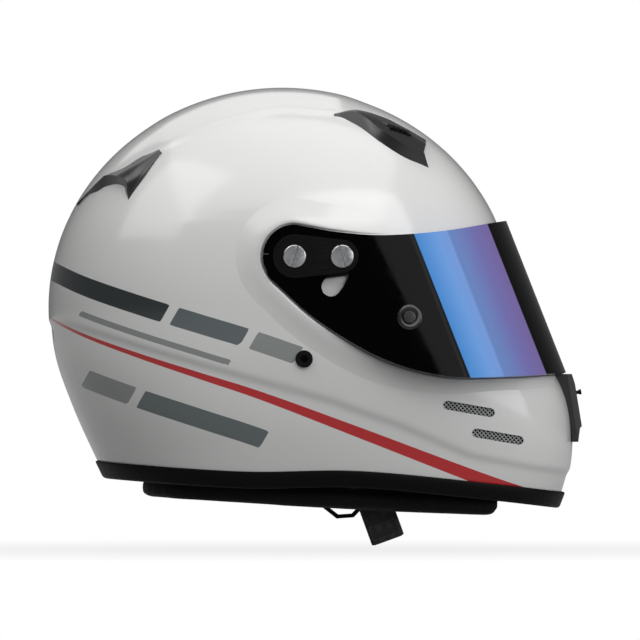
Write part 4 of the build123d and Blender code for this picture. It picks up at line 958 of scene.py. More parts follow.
# %% [markdown]
# ### Slide keys on the brow scoops
# Each brow scoop has a small key that slides in a groove and shuts the vent. The key is the CAD
# solid, so that it moves as the joint says, but made flatter and lowered into a groove that
# follows the lower skin.

# %% Grooves and keys
KEY_PLACE = np.array([63.0, 117.6])
GROOVE_RADIUS = 2.6
KEY_SINK = 0.9
KEY_FLATTEN, KEY_SHORTEN = 0.65, 0.1


def lay_key(skin, side, node, name):
    """Cuts a groove along the slide's way in the plane of the nearest skin, and lays the key in it."""
    order = np.argsort(np.linalg.norm(skin[:, [0, 2]] - KEY_PLACE, axis=1))[:24]
    seat = skin[order[0]]
    plane = np.linalg.svd(skin[order] - skin[order].mean(0))[2][2]
    plane *= np.sign(plane[2])
    way = np.array([-0.887, side * 0.341, 0.311])
    way -= plane * (way @ plane)
    way /= np.linalg.norm(way)
    line = seat + plane * KEY_SINK + way * np.linspace(-8.5, 12, 12)[:, None]
    cut(brow_scoops, together("groove_tool", [tube(line, GROOVE_RADIUS, 16)]))
    key = merged(node, name)
    local = coordinates(key.data) / MM
    local -= (local.min(0) + local.max(0)) / 2
    height = local @ plane
    local -= plane * (height * KEY_FLATTEN)[:, None]
    local -= (local @ way)[:, None] * way * KEY_SHORTEN
    height = local @ plane
    local += seat - way * 2.5 + plane * (-KEY_SINK - height.min())
    key.data.vertices.foreach_set("co", (local * MM).ravel())
    shade(key, 30)
    return key


for (points, _), side, node, name, body in (
    (brow_parts[0], -1, "forehead_slider_right", "brow_slider_right", "slider_right"),
    (brow_parts[1], 1, "forehead_slider_left", "brow_slider_left", "slider_left"),
):
    key = lay_key(points[: len(points) // 2], side, node, name)
    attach(key, body)
    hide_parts(node)
    dressed[node] = key
    tell(key)
for piece in (brow_scoops, rear_arches):
    shade(piece, 30)
    tell(piece)
dressed["forehead_vents"], dressed["rear_vents"] = brow_scoops, rear_arches

# %% [markdown]
# ## Webbing of the chin strap
# Flat woven polyester, 22 mm wide, folded back on itself at the end and sewn. It could be a curve
# with a flat bevel, but its round bends would come out uneven. So a flat section is carried
# along a path of straight runs and round bends, and the mesh keeps lengths in its UV map, so
# that the weave follows the strap.

# %% Paths of the straps
WEB_WIDTH, WEB_THICK = 22.0, 1.8
STRAP_ORIGIN = np.array([24.0, 0, -58.0])
HANG_OUT = 58  # the straps hang this far out from the middle
TAIL_LENGTH, LOOP_LENGTH = 96, 63
TAIL_END = [(0, -0.6), (-0.4, 0.3), (-1.4, 0.3), (-1.8, -0.6), (-1.8, -14)]
LOOP_END = [(0, -9), (3.4, -3.5), (3.9, 0), (2.7, 2.7), (0, 3.8)]
LOOP_END += [(-2.7, 2.7), (-3.9, 0), (-3.4, -3.5), (-1.8, -8), (-1.8, -15)]


def run(points, radius):
    """A path of straight runs with round corners, about 1 mm from point to point; and its lengths."""
    bends = [corner(a, b, c, radius, 0.49, 9) for a, b, c in zip(points[:-2], points[1:-1], points[2:])]
    line = np.vstack([points[:1], *bends, points[-1:]])
    whole = lengths(line)[-1]
    count = max(2, int(whole))
    return even(line, count), np.linspace(0, whole, count)


def web_section():
    """The strap's section: width from -1 to 1, and half the thickness times sqrt(1 - width^10)."""
    across = np.linspace(-1, 1, 13)
    half = WEB_THICK / 2 * np.maximum(1 - across**10, 0) ** 0.5
    return np.concatenate([np.stack([across, half], -1), np.stack([across, -half], -1)[-2:0:-1]])


print("points of the strap's section:", len(web_section()))

# %% Straps


def strap(name, node, lean, side, length, end):
    """Webbing along a path in its own plane: out from the middle, and down along the lean."""
    box_low, box_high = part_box(node)
    outside = max(abs(box_low[1]), abs(box_high[1])) / MM - WEB_THICK / 2
    points = [(outside, -7), (outside, 7), (98, 24), (95, 42), (HANG_OUT, 55)]
    points += [(HANG_OUT + a, length + b) for a, b in end]
    line, at = run(np.array(points, float), 8.0)
    flat = web_section()
    ahead = np.gradient(line, axis=0)
    ahead /= np.linalg.norm(ahead, axis=1, keepdims=True)
    off = np.stack([ahead[:, 1], -ahead[:, 0]], -1)
    plane = line[:, None] + off[:, None] * flat[None, :, 1:]
    down = np.array([math.sin(math.radians(lean)), 0, -math.cos(math.radians(lean))])
    wide = np.array([math.cos(math.radians(lean)), 0, math.sin(math.radians(lean))])
    out = np.array([0, side, 0])
    in_plane = STRAP_ORIGIN + plane[..., :1] * out + plane[..., 1:] * down
    points = in_plane + flat[None, :, :1] * WEB_WIDTH / 2 * wide
    made = make(name, points.reshape(-1, 3), capped_faces(len(line), len(flat)))
    weave = made.data.uv_layers.new(name="length")
    loops = np.zeros(len(made.data.loops), int)
    made.data.loops.foreach_get("vertex_index", loops)
    width_run = np.tile(flat[:, 0] * WEB_WIDTH / 2, len(line))
    place = np.stack([np.repeat(at, len(flat)), width_run], -1)[loops]
    weave.data.foreach_set("uv", (place * MM).ravel())
    outwards(made, 0)
    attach(made, "shell")
    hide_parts(node)
    print(f"{name}: {at[-1]:.0f} mm of webbing")
    return made, (out, down, wide)


tail, tail_ways = strap("strap_tail", "chin_strap_right", 20, -1, TAIL_LENGTH, TAIL_END)
loop, loop_ways = strap("strap_loop", "chin_strap_left", 4, 1, LOOP_LENGTH, LOOP_END)

# %% [markdown]
# ### Stitches
# The folded ends are sewn in a box. A dotted line in a texture would vanish from the side, so
# each stitch is a small bead of thread, pressed into the webbing.

# %% Stitches of the folded ends
STITCH_SPACING = 3.0
STITCH_HALF = 1.25
STITCH_RADIUS = 0.32


def stitches(name, ways, rows, body):
    """Beads 2.5 mm long in rows from start to stop, places down and across; radius sqrt(1 - t^2)."""
    out, down, wide = ways
    parts = []
    for start, stop in np.array(rows, float):
        long = np.linalg.norm(stop - start)
        way = (stop - start) / long
        for s in np.arange(1.2, long, STITCH_SPACING):
            t = np.linspace(-STITCH_HALF, STITCH_HALF, 5)
            flat = start + way * (s + t[:, None])
            path = STRAP_ORIGIN + out * (HANG_OUT + WEB_THICK / 2) + down * flat[:, :1] + wide * flat[:, 1:]
            parts.append(tube(path, STITCH_RADIUS * np.sqrt(np.maximum(1 - (t / 1.45) ** 2, 0.02))))
    made = together(name, parts)
    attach(made, body)
    print(name, len(parts))


for name, ways, low in (("tail_stitches", tail_ways, 96.0), ("loop_stitches", loop_ways, 55.5)):
    top, foot, half = low - 11, low - 2, 9
    box = [((top, -half), (top, half)), ((foot, -half), (foot, half))]
    box += [((top, -half), (foot, -half)), ((top, half), (foot, half))]
    stitches(name, ways, box, "shell")

# %% [markdown]
# ## Pads, roll and foam
# Sewn pads swell between their seams. They could be sculpted, but Blender's Cloth with pressure
# rounds them as their filling does, so each is a copy of its CAD solid, remeshed evenly and then
# blown up a little. The hard foam liners don't swell and are only remeshed and smoothed.

# %% Even meshes and swelling


def remeshed(node, name, voxel, shrink):
    """A copy of a CAD node, remeshed at a voxel size, smoothed twice and made smaller all round."""
    made = merged(node, name)
    grid = made.modifiers.new("grid", "REMESH")
    grid.mode = "VOXEL"
    grid.voxel_size = voxel * MM
    bpy.context.view_layer.objects.active = made
    bpy.ops.object.modifier_apply(modifier="grid")
    bm = bmesh.new()
    bm.from_mesh(made.data)
    every_way = {"use_axis_x": True, "use_axis_y": True, "use_axis_z": True}
    for _ in range(2):
        bmesh.ops.smooth_vert(bm, verts=bm.verts, factor=0.5, **every_way)
    bm.to_mesh(made.data)
    bm.free()
    normals = np.zeros(len(made.data.vertices) * 3)
    made.data.vertices.foreach_get("normal", normals)
    moved = coordinates(made.data) - normals.reshape(-1, 3) * shrink * MM
    made.data.vertices.foreach_set("co", moved.ravel())
    made.data.update()
    return made


def swollen(piece, cap):
    """Runs Cloth with pressure for 20 frames and applies each point's move, no longer than a cap."""
    scene = bpy.context.scene
    start = coordinates(piece.data)
    cloth = piece.modifiers.new("cloth", "CLOTH")
    cloth.settings.use_pressure = True
    cloth.settings.uniform_pressure_force = 4.0
    cloth.settings.effector_weights.gravity = 0
    for at in range(1, 21):
        scene.frame_set(at)
    shape = piece.evaluated_get(bpy.context.evaluated_depsgraph_get()).data
    move = coordinates(shape) - start
    far = np.linalg.norm(move, axis=1, keepdims=True)
    piece.modifiers.remove(cloth)
    scene.frame_set(1)
    move *= np.minimum(1, cap * MM / np.maximum(far, 1e-9))
    piece.data.vertices.foreach_set("co", (start + move).ravel())
    piece.data.update()


print("defined remeshed and swollen")

# %% The soft pieces: name, voxel, shrinking, cap of the swelling, material slot and fill
SOFT = {
    "cheek_pad_right": ("cheek_cushion_right", 4, 2.5, 4.5, "lining_cloth", 0.8),
    "cheek_pad_left": ("cheek_cushion_left", 4, 2.5, 4.5, "lining_cloth", 0.8),
    "neck_roll": ("neck_bolster", 4, 2.0, 4.0, "roll_cloth", 0.85),
    "comfort_pad": ("head_lining", 5, 0.6, 0, "lining_cloth", 0.9),
    "crown_liner": ("crown_foam", 5, 0.4, 0, "foam", 1.0),
    "chin_liner": ("chin_foam", 4, 0.4, 0, "foam", 1.0),
}
ROLL_PUSH = 0.014  # metres that the roll's front bulges forwards, out of the base
pads = {}
for node, (name, voxel, shrink, cap, slot, fill) in SOFT.items():
    pad = remeshed(node, name, voxel, shrink)
    if cap:
        swollen(pad, cap)
    if node == "neck_roll":
        moved = coordinates(pad.data)
        moved[:, 0] += ROLL_PUSH * step((moved[:, 0] - 0.04) / 0.08)
        pad.data.vertices.foreach_set("co", moved.ravel())
    pad.data.polygons.foreach_set("use_smooth", [True] * len(pad.data.polygons))
    finer = pad.modifiers.new("finer", "SUBSURF")
    finer.levels = finer.render_levels = 1
    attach(pad, "shell")
    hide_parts(node)
    pads[node] = pad
    tell(pad)

# %% [markdown]
# ## Materials
# Each material starts from what the real one is and how its surface was made. A picture could be
# wrapped round a piece, but it would stretch over the curves; patterns worked out from places in
# the object keep their real size everywhere. Colours are sRGB hex, turned to linear by one
# function, and one small function adds a node with its settings and links.

# %% Colours and nodes


def colour(code, alpha=1.0):
    """Linear colour from sRGB hex: ((c + 0.055) / 1.055)^2.4 for each channel."""
    parts = [int(code[i : i + 2], 16) / 255 for i in (1, 3, 5)]
    return (*[((c + 0.055) / 1.055) ** 2.4 if c > 0.04045 else c / 12.92 for c in parts], alpha)


def grey(value):
    """A neutral linear colour for a ramp that steers roughness or a mask."""
    return (value, value, value, 1)


def add(tree, kind, sockets=None, stops=None, **settings):
    """Adds a node: attributes by name, sockets by name or number, ramp stops, and its links."""
    made = tree.nodes.new(kind)
    for name, value in settings.items():
        setattr(made, name, value)
    for name, value in (sockets or {}).items():
        if isinstance(value, bpy.types.NodeSocket):
            tree.links.new(value, made.inputs[name])
        else:
            made.inputs[name].default_value = value
    if stops:
        ramp = made.color_ramp
        while len(ramp.elements) > 1:
            ramp.elements.remove(ramp.elements[-1])
        for i, (at, code) in enumerate(stops):
            element = ramp.elements[0] if i == 0 else ramp.elements.new(at)
            element.position, element.color = at, code
    return made


def dress(material, *pieces):
    """Puts one material on every slot of each piece."""
    for piece in pieces:
        if not piece.material_slots:
            piece.data.materials.append(material)
        for place in piece.material_slots:
            place.material = material
    print(material.name, "on", *[piece.name for piece in pieces])


# %% Materials to start from


def start_material(name, **values):
    """A new material with its shader's plain values; also its tree, shader and coordinates."""
    made = bpy.data.materials.new(name)
    made.use_nodes = True
    shader = made.node_tree.nodes["Principled BSDF"]
    for socket, value in values.items():
        shader.inputs[socket.replace("_", " ")].default_value = value
    place = add(made.node_tree, "ShaderNodeTexCoord").outputs["Object"]
    return made, made.node_tree, shader, place


def wear(tree, shader, place, size, low, high, bump=0.0, depth=0.0001):
    """Roughness between two values, and bump, from noise whose grains have a real size in mm."""
    noise = add(tree, "ShaderNodeTexNoise", {"Vector": place, "Scale": 1000 / size, "Detail": 4.0})
    stops = [(0.35, grey(low)), (0.65, grey(high))]
    ramp = add(tree, "ShaderNodeValToRGB", {"Fac": noise.outputs["Fac"]}, stops)
    tree.links.new(ramp.outputs["Color"], shader.inputs["Roughness"])
    if bump:
        sockets = {"Height": noise.outputs["Fac"], "Strength": bump, "Distance": depth}
        relief = add(tree, "ShaderNodeBump", sockets)
        tree.links.new(relief.outputs["Normal"], shader.inputs["Normal"])


def one_colour(name, code, grain, low, high, bump=0.0, depth=0.0001, **values):
    """A material of one colour, with roughness and bump from grains of a size in mm."""
    made, tree, shader, place = start_material(name, **values)
    shader.inputs["Base Color"].default_value = colour(code)
    wear(tree, shader, place, grain, low, high, bump, depth)
    return made


print("defined start_material, wear and one_colour")


# %% [markdown]
# ### Painted composite shell
# White paint with a red tapered stripe and grey bars, masked by hand and sprayed, then covered
# with clear lacquer. A texture picture would blur at the edges. Instead the mesh keeps, point by
# point, the distance to each edge: positive inside, zero on the edge. Where such a distance is
# linear, its edge stays crisp between points.

# %% Distances from the stripe and the bars
STRIPE_POINTS = [(-165, -4), (-139.1, -16.6), (-102.7, -29.9), (-63, -42.9)]
STRIPE_POINTS += [(-23, -56), (39, -79.3), (119.6, -110.2), (160, -124)]
stripe_line = smooth(np.array(STRIPE_POINTS), 200)


def over_stripe(p):
    """Height over the stripe's middle line."""
    return p[:, 2] - np.interp(p[:, 0], stripe_line[:, 0], stripe_line[:, 1])


def band_field(p, low, high, start, stop, rise):
    """Distance inside a band over the stripe: the least of those to its two sides and slanted ends."""
    slant = math.radians(30)
    s = p[:, 0] * math.cos(slant) - p[:, 2] * math.sin(slant)
    over = over_stripe(p) - rise * (p[:, 0] + 160) / 100
    return np.minimum(np.minimum(over - low, high - over), np.minimum(s - start, stop - s))


def keep_field(piece, name, values):
    """Stores one number for each point of a mesh."""
    layer = piece.data.attributes.new(name, "FLOAT", "POINT")
    layer.data.foreach_set("value", values.astype(np.float32))


print(f"stripe line: {lengths(stripe_line)[-1]:.0f} mm long")


# %% Fields on the shell
SQUARE_TO_STRIPE = 0.94  # cosine of the stripe's slope
points = coordinates(shell.data) / MM
stripe_half = np.interp(points[:, 0], [-160, -100, 40, 130], [0.8, 1.6, 3.4, 4.2])
upper_dark = band_field(points, 25, 38, -400, -74, 2)
upper_mid = band_field(points, 25, 38, -68, -22, 2)
upper_light = band_field(points, 25, 38, -16, 14, 2)
lower_mid = band_field(points, -34, -21, -60, 22, 0)
lower_light = band_field(points, -34, -21, -98, -66, 0)
thin_light = band_field(points, 11, 15, -122, -22, 1.4)
keep_field(shell, "stripe_off", over_stripe(points) * SQUARE_TO_STRIPE)
keep_field(shell, "stripe_half", stripe_half)
keep_field(shell, "bars_dark", upper_dark)
keep_field(shell, "bars_mid", np.maximum(upper_mid, lower_mid))
keep_field(shell, "bars_light", np.maximum(np.maximum(upper_light, lower_light), thin_light))
print(f"stripe {2 * stripe_half.min():.1f} to {2 * stripe_half.max():.1f} mm wide")

# %% White paint and what is laid over it


def white_paint(name, low, high, roughness):
    """Lacquered white whose tone drifts a little, over about 110 mm, as on a real sprayed skin."""
    values = {"Coat_Weight": 1.0, "Coat_Roughness": 0.12, "IOR": 1.5, "Roughness": roughness}
    made, tree, shader, place = start_material(name, **values)
    tone = add(tree, "ShaderNodeTexNoise", {"Vector": place, "Scale": 9.0, "Detail": 2.0})
    stops = [(0.3, colour(low)), (0.7, colour(high))]
    white = add(tree, "ShaderNodeValToRGB", {"Fac": tone.outputs["Fac"]}, stops)
    tree.links.new(white.outputs["Color"], shader.inputs["Base Color"])
    return made, tree, shader, place, white.outputs["Color"]


def stored(tree, name):
    """A number stored on the mesh's points."""
    return add(tree, "ShaderNodeAttribute", attribute_name=name).outputs["Fac"]


def laid_over(tree, field, under, over):
    """One colour over another where a field is above zero, with an edge 0.3 mm wide."""
    mask = add(tree, "ShaderNodeMapRange", {"Value": field, "From Min": -0.15, "From Max": 0.15})
    # The Mix node's colour sockets share names, so they are given by number.
    mix = add(tree, "ShaderNodeMix", {0: mask.outputs["Result"], 6: under, 7: over}, data_type="RGBA")
    return mix.outputs[2]


print("defined white_paint, stored and laid_over")

# %% Gloss white lacquer
# Sprayed polyurethane paint under clear lacquer, flatted and polished: soft wide reflections,
# with a faint orange peel of 2.4 mm in the lacquer only.
paint, tree, shader, place, top = white_paint("gloss_white_lacquer", "#E4E4E3", "#E9E9E8", 0.22)
for name, code in (("bars_light", "#8E9390"), ("bars_mid", "#5F696B"), ("bars_dark", "#2D3436")):
    top = laid_over(tree, stored(tree, name), top, colour(code))
off = add(tree, "ShaderNodeMath", {0: stored(tree, "stripe_off")}, operation="ABSOLUTE")
inside = {0: stored(tree, "stripe_half"), 1: off.outputs[0]}
stripe = add(tree, "ShaderNodeMath", inside, operation="SUBTRACT")
top = laid_over(tree, stripe.outputs[0], top, colour("#C4000C"))
tree.links.new(top, shader.inputs["Base Color"])
peel = add(tree, "ShaderNodeTexNoise", {"Vector": place, "Scale": 420.0, "Detail": 1.0})
relief = add(tree, "ShaderNodeBump", {"Height": peel.outputs["Fac"], "Strength": 0.04, "Distance": 0.0002})
tree.links.new(relief.outputs["Normal"], shader.inputs["Coat Normal"])
dress(paint, shell)

# The lip is painted with the shell; its paint is the same without the stripe and bars.
lip_paint = white_paint("gloss_white_lip", "#E2E2E1", "#E8E8E7", 0.25)[0]
dress(lip_paint, bpy.data.objects["visor_lip_right"], bpy.data.objects["visor_lip_left"])

# %% Bare laminate inside the shell
# Black cloth in resin as it leaves the mould's open side: dull, with checks 4 mm wide, about
# twice the real weave so that they show.
laminate, tree, shader, place = start_material("bare_laminate", IOR=1.5, Roughness=0.5)
sockets = {"Vector": place, "Scale": 1000 / 4.0, "Color1": colour("#1B1B1C"), "Color2": colour("#242425")}
checks = add(tree, "ShaderNodeTexChecker", sockets)
tree.links.new(checks.outputs["Color"], shader.inputs["Base Color"])
shell.data.materials.append(laminate)
middles = np.zeros(len(shell.data.polygons) * 3)
shell.data.polygons.foreach_get("center", middles)
bare = within(middles.reshape(-1, 3) / MM, 1 - SHELL_WALL)
shell.data.polygons.foreach_set("material_index", bare.astype(int))
print("bare faces inside the shell:", bare.sum())

# %% [markdown]
# ### Visor
# Smoke polycarbonate with a vapour coating: near black, and a blue to violet band across the
# front that is a painted reflection: the coating's mirror image of the lamps is painted into the
# base colour. Real thin film changes with the angle, but this band keeps one place on the sheet,
# so it is a ramp along the leaning axis between two real distances.

# %% Iridium-coated polycarbonate with a painted reflection
# Sheet plastic, polished by its maker and coated: smooth, with a weak mirror of its own.
# The band between these distances is a painted reflection of the lamps, laid into the base colour.
PAINTED_REFLECTION_START, PAINTED_REFLECTION_STOP = 0.0858, 0.1336  # metres across the lean
PAINTED_REFLECTION_COLOURS = [(0.02, "#4A8ED6"), (0.28, "#6FA0E2"), (0.52, "#7C98D8"), (0.78, "#8480C6"), (0.98, "#8A78B8")]
PAINTED_REFLECTION_EDGES = [(0.005, 0), (0.015, 1), (0.985, 1), (0.995, 0)]
values = {"IOR": 1.45, "Specular_IOR_Level": 0.1}
coated, tree, shader, place = start_material("iridium_polycarbonate_painted_reflection", **values)
axes = add(tree, "ShaderNodeSeparateXYZ", {"Vector": place})
ahead = add(tree, "ShaderNodeMath", {0: axes.outputs["X"], 1: lean_cos}, operation="MULTIPLY")
sockets = {0: axes.outputs["Z"], 1: lean_sin, 2: ahead.outputs[0]}
across = add(tree, "ShaderNodeMath", sockets, operation="MULTIPLY_ADD").outputs[0]
sockets = {"Value": across, "From Min": PAINTED_REFLECTION_START, "From Max": PAINTED_REFLECTION_STOP}
painted_reflection_span = add(tree, "ShaderNodeMapRange", sockets).outputs["Result"]
stops = [(at, colour(code)) for at, code in PAINTED_REFLECTION_COLOURS]
band = add(tree, "ShaderNodeValToRGB", {"Fac": painted_reflection_span}, stops).outputs["Color"]
stops = [(at, grey(value)) for at, value in PAINTED_REFLECTION_EDGES]
mask = add(tree, "ShaderNodeValToRGB", {"Fac": painted_reflection_span}, stops).outputs["Color"]
# Near black smoke outside the band; inside it the painted reflection, with a little metallic shine.
smoke_and_painted_reflection = add(tree, "ShaderNodeMix", {0: mask, 6: colour("#020203"), 7: band}, data_type="RGBA")
mirror = add(tree, "ShaderNodeMath", {0: mask, 1: 0.12}, operation="MULTIPLY")
tree.links.new(smoke_and_painted_reflection.outputs[2], shader.inputs["Base Color"])
tree.links.new(mirror.outputs[0], shader.inputs["Metallic"])
wear(tree, shader, place, 6.0, 0.05, 0.09)
dress(coated, visor)

# %% [markdown]
# ### Rubber, plastics and metals
# Plain pieces of one colour. A single roughness would look like a computer's plastic, so each
# has grains of a real size that make it a little rougher and smoother from place to place.

# %% Rubber and plastics
# Extruded rubber, with the fine drag marks of its die: deep black with a dull, broken shine.
values = {"IOR": 1.52, "Specular_IOR_Level": 0.12}
rubber = one_colour("extruded_rubber", "#040404", 1.4, 0.42, 0.58, 0.15, 0.0002, **values)
dress(rubber, trim, nodes["eyeport_seal"])

# Nylon moulded in a spark-eroded tool: black with a fine leathery grain and a satin shine.
values = {"IOR": 1.53, "Specular_IOR_Level": 0.18}
nylon = one_colour("moulded_nylon", "#050506", 0.6, 0.3, 0.45, 0.25, 0.00015, **values)
plates = [dressed[node] for node in ("link_plates", "visor_base_plates", "ratchet_rings")]
slides = [dressed[node] for node in ("forehead_slider_right", "forehead_slider_left", "chin_vent_shutter")]
# The black discs behind the anchor bores, painted shade, take this nylon too.
dress(nylon, *plates, *slides, dressed["chin_vent_grille"], bore_shade_discs)

# ABS moulded in a polished tool and lacquered: black, with wide soft highlights.
values = {"IOR": 1.53, "Coat_Weight": 0.8, "Coat_Roughness": 0.25}
gloss_black = one_colour("gloss_black_abs", "#0A0B0C", 1.0, 0.3, 0.42, **values)
dress(gloss_black, *[dressed[node] for node in ("forehead_vents", "rear_vents", "chin_vent_housing")])

# Acetal turned from rod: nearly black, smooth and waxy.
acetal = one_colour("acetal_post", "#17181B", 1.2, 0.15, 0.25, IOR=1.48, Coat_Weight=0.3)
dress(acetal, dressed["tear_off_posts"], washer)

# %% Metals, and wire with a painted highlight
# Woven steel wire, dark in itself; its pale grey colour is a painted highlight: dull, so that it
# shows before the dark panel behind it.
wire = one_colour("grey_wire_painted_highlight", "#B4B7B7", 0.8, 0.35, 0.5, IOR=1.5)
dress(wire, screen)

# Aluminium turned on a lathe and left bright: a soft metal shine with blurred reflections.
aluminium = one_colour("turned_aluminium", "#C9CACC", 3.0, 0.24, 0.32, Metallic=1.0)
dress(aluminium, dressed["pivot_screws"], dressed["guide_screws"])

# Brass turned on a lathe, seen only in the shell's bores: warm and bright.
brass = one_colour("turned_brass", "#A58A55", 0.8, 0.25, 0.4, Metallic=1.0)
dress(brass, nodes["screw_inserts"])

# Aluminium hard anodised black, steel plated with zinc, and steel blackened with oxide: each has
# a thin grown or plated skin that blurs what it mirrors, with a very shallow grain.
for name, code, low, high, wearers in (
    ("hard_anodised_aluminium", "#26262A", 0.3, 0.42, ("restraint_anchors",)),
    ("zinc_plated_steel", "#8A8B8C", 0.3, 0.45, ("strap_anchors",)),
    ("black_oxide_steel", "#1C1C1E", 0.28, 0.4, ("d_ring_inner", "d_ring_outer")),
):
    metal = one_colour(name, code, 0.8, low, high, 0.08, 0.00005, Metallic=1.0)
    dress(metal, *[dressed[node] for node in wearers])

# %% [markdown]
# ### Foam, cloth and webbing
# The liners are beads of foam fused in a mould. The lining is a knitted cloth and the roll is
# covered in a coated, leather-like one. Real loops and threads could be modelled, but there are
# far too many, so they are waves in the material, several times coarser than the real ones.

# %% Expanded foam
# Polystyrene beads fused by steam: matt, with a fine net of dark gaps round beads of 3.2 mm.
beads, tree, shader, place = start_material("expanded_foam", IOR=1.4, Roughness=0.85)
sockets = {"Vector": place, "Scale": 1000 / 3.2}
cells = add(tree, "ShaderNodeTexVoronoi", sockets, feature="DISTANCE_TO_EDGE").outputs["Distance"]
tint = add(tree, "ShaderNodeValToRGB", {"Fac": cells}, [(0.0, colour("#1A1A1B")), (0.12, colour("#2B2B2D"))])
tree.links.new(tint.outputs["Color"], shader.inputs["Base Color"])
relief = add(tree, "ShaderNodeBump", {"Height": cells, "Strength": 0.5, "Distance": 0.0006})
tree.links.new(relief.outputs["Normal"], shader.inputs["Normal"])
# The dark panels behind the vents' wires, painted shade, take this foam material too.
dress(beads, pads["crown_liner"], pads["chin_liner"], shade_panels)

# %% Waves at right angles
WAVE_TURN = 20  # radians that a wave texture of scale 1 goes through in one metre


def crossed(tree, vector, pitches, ways, **settings):
    """The product of two waves at right angles; each repeats after 2 pi times its pitch in mm."""
    waves = []
    for pitch, way in zip(pitches, ways):
        sockets = {"Vector": vector, "Scale": 1000 / pitch / WAVE_TURN, **settings}
        waves.append(add(tree, "ShaderNodeTexWave", sockets, bands_direction=way).outputs["Fac"])
    return add(tree, "ShaderNodeMath", {0: waves[0], 1: waves[1]}, operation="MULTIPLY").outputs[0]


def knit(name, low, high, pitch, strength, rough):
    """Cloth of loops 2 pi times a pitch apart, with broad folds in its bump."""
    values = {"Sheen_Weight": 0.1, "Sheen_Roughness": 0.5, "IOR": 1.45, "Specular_IOR_Level": 0.2}
    made, tree, shader, place = start_material(name, Roughness=rough, **values)
    loops = crossed(tree, place, (pitch, pitch), "XZ", Distortion=0.6, Detail=1.0)
    fold = add(tree, "ShaderNodeTexNoise", {"Vector": place, "Scale": 60.0, "Detail": 3.0})
    height = add(tree, "ShaderNodeMath", {0: fold.outputs["Fac"], 1: 1.5, 2: loops}, operation="MULTIPLY_ADD")
    tint = add(tree, "ShaderNodeValToRGB", {"Fac": loops}, [(0.1, colour(low)), (0.8, colour(high))])
    tree.links.new(tint.outputs["Color"], shader.inputs["Base Color"])
    sockets = {"Height": height.outputs[0], "Strength": strength, "Distance": 0.0005}
    relief = add(tree, "ShaderNodeBump", sockets)
    tree.links.new(relief.outputs["Normal"], shader.inputs["Normal"])
    return made


print("defined crossed and knit")

# %% Lining and roll
# Knitted aramid: black, matt and soft. Its loops are drawn 10 mm apart, far coarser than the real
# ones, so they read as soft tufts.
knitted = knit("knitted_fireproof_cloth", "#131314", "#242427", 1.6, 0.5, 0.85)
dress(knitted, *[pads[node] for node in ("comfort_pad", "cheek_pad_right", "cheek_pad_left")])

# Cloth coated with polyurethane and embossed: deep black and a little smoother. Its grain is
# drawn 5.7 mm apart, coarser than the real one.
leather_look = knit("coated_cloth", "#020202", "#060606", 0.9, 0.12, 0.7)
dress(leather_look, pads["neck_roll"])

# %% Webbing and thread
# Polyester webbing woven on a narrow loom: ribs across it and threads along it catch the light.
# They are read from the UV map, so that they follow the strap, and are drawn 9.4 and 6.9 mm
# apart, coarser than the real ones.
woven, tree, shader, place = start_material("woven_polyester", Sheen_Weight=0.2, IOR=1.5, Roughness=0.7)
uv = add(tree, "ShaderNodeUVMap", uv_map="length").outputs["UV"]
crossing = crossed(tree, uv, (1.5, 1.1), "XY", Distortion=0.0)
stops = [(0.0, colour("#08080A")), (0.7, colour("#2A2A2C"))]
tint = add(tree, "ShaderNodeValToRGB", {"Fac": crossing}, stops)
tree.links.new(tint.outputs["Color"], shader.inputs["Base Color"])
relief = add(tree, "ShaderNodeBump", {"Height": crossing, "Strength": 0.7, "Distance": 0.0004})
tree.links.new(relief.outputs["Normal"], shader.inputs["Normal"])
dress(woven, tail, loop)

# Bonded nylon thread, smoothed by its resin: grey, so that the stitches show on the webbing.
thread = one_colour("bonded_thread", "#4A4A4C", 0.3, 0.5, 0.7, IOR=1.5)
dress(thread, bpy.data.objects["tail_stitches"], bpy.data.objects["loop_stitches"])

# %% [markdown]
# ## Floor and light
# The picture has a white studio. Strong lamps could bleach a grey floor, but they would bleach
# the helmet too. So the floor is grey to the lamps and keeps the shadow, and it glows white to
# the camera, less so right below the helmet. The world is white to the camera as well.

# %% Floor
FLOOR_HALF, FLOOR_HEIGHT = 6000, -156
ways = ((-1, -1), (1, -1), (1, 1), (-1, 1))
corners = [(x * FLOOR_HALF, y * FLOOR_HALF, FLOOR_HEIGHT) for x, y in ways]
floor = make("studio_floor", corners, [(0, 1, 2, 3)], False)
floor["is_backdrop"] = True
sweep, tree, shader, place = start_material("white_sweep", Roughness=0.9)
shader.inputs["Base Color"].default_value = colour("#707070")
rays = add(tree, "ShaderNodeLightPath").outputs
mirrored = add(tree, "ShaderNodeMath", {0: rays["Is Glossy Ray"], 1: 0.3}, operation="MULTIPLY")
seen = add(tree, "ShaderNodeMath", {0: rays["Is Camera Ray"], 1: mirrored.outputs[0]}, operation="MAXIMUM")
sockets = {0: seen.outputs[0], 1: rays["Is Transmission Ray"]}
seen = add(tree, "ShaderNodeMath", sockets, operation="MAXIMUM")
far = add(tree, "ShaderNodeVectorMath", {0: place}, operation="LENGTH").outputs["Value"]
clear = add(tree, "ShaderNodeMapRange", {"Value": far, "From Min": 0.2, "From Max": 0.6, "To Min": 0.85})
sockets = {0: seen.outputs[0], 1: clear.outputs["Result"]}
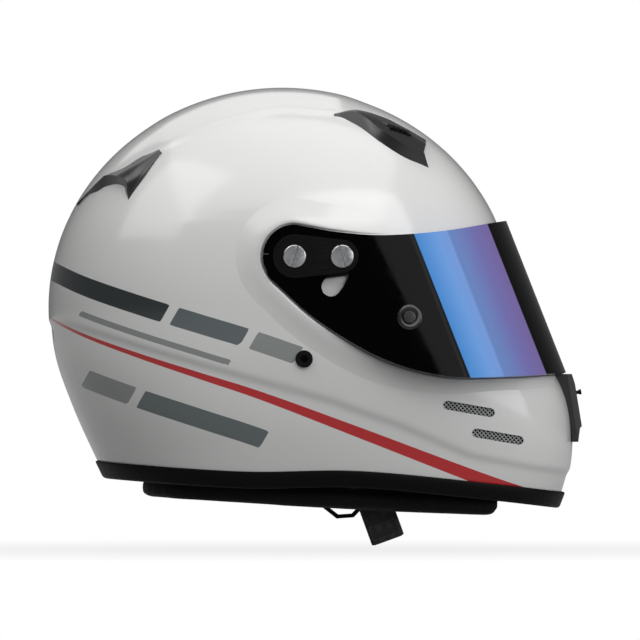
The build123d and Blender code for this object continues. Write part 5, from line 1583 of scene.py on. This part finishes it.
seen = add(tree, "ShaderNodeMath", sockets, operation="MULTIPLY")
glow = add(tree, "ShaderNodeEmission", {"Color": (1, 1, 1, 1), "Strength": 1.0})
blend = add(tree, "ShaderNodeMixShader", {0: seen.outputs[0], 1: shader.outputs[0], 2: glow.outputs[0]})
tree.links.new(blend.outputs[0], tree.nodes["Material Output"].inputs["Surface"])
dress(sweep, floor)

# %% World: white to the camera and through glass, dim to all other rays
DIM_WORLD = 0.13
world = bpy.data.worlds.new("studio")
bpy.context.scene.world = world
world.use_nodes = True
tree = world.node_tree
rays = add(tree, "ShaderNodeLightPath").outputs
sockets = {0: rays["Is Camera Ray"], 1: rays["Is Transmission Ray"]}
seen = add(tree, "ShaderNodeMath", sockets, operation="MAXIMUM")
strength = add(tree, "ShaderNodeMapRange", {"Value": seen.outputs[0], "To Min": DIM_WORLD, "To Max": 1.0})
back = tree.nodes["Background"]
back.inputs["Color"].default_value = (1, 1, 1, 1)
tree.links.new(strength.outputs["Result"], back.inputs["Strength"])
print("world strength beside the camera's rays:", DIM_WORLD)

# %% Soft lamps: name, place and size in millimetres, and power in watts
LAMPS = (
    ("top_box", (0, -500, 1700), 2400, 19),
    ("side_box", (900, -1500, 1000), 1500, 15),
    ("front_box", (1700, -700, 300), 1200, 7),
    ("far_box", (-300, 1200, 1400), 1300, 4),
    ("rear_box", (-1300, -800, 1500), 1500, 9),
)
for name, place, size, power in LAMPS:
    lamp = bpy.data.lights.new(name, "AREA")
    lamp.shape = "SQUARE"
    lamp.size = size * MM
    lamp.energy = power
    made = bpy.data.objects.new(name, lamp)
    bpy.context.scene.collection.objects.link(made)
    made.location = Vector(place) * MM
    made.rotation_euler = (Vector() - Vector(place)).to_track_quat("-Z", "Y").to_euler()
bpy.context.scene.view_settings.view_transform = "Standard"
print("lamps:", len(LAMPS), "with", sum(lamp[3] for lamp in LAMPS), "W in all")

# %% [markdown]
# ## Sizes
# The dressed model should fill the same box as the CAD model, so its box is printed.

# %% Sizes
low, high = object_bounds()
print("visual", low, high)
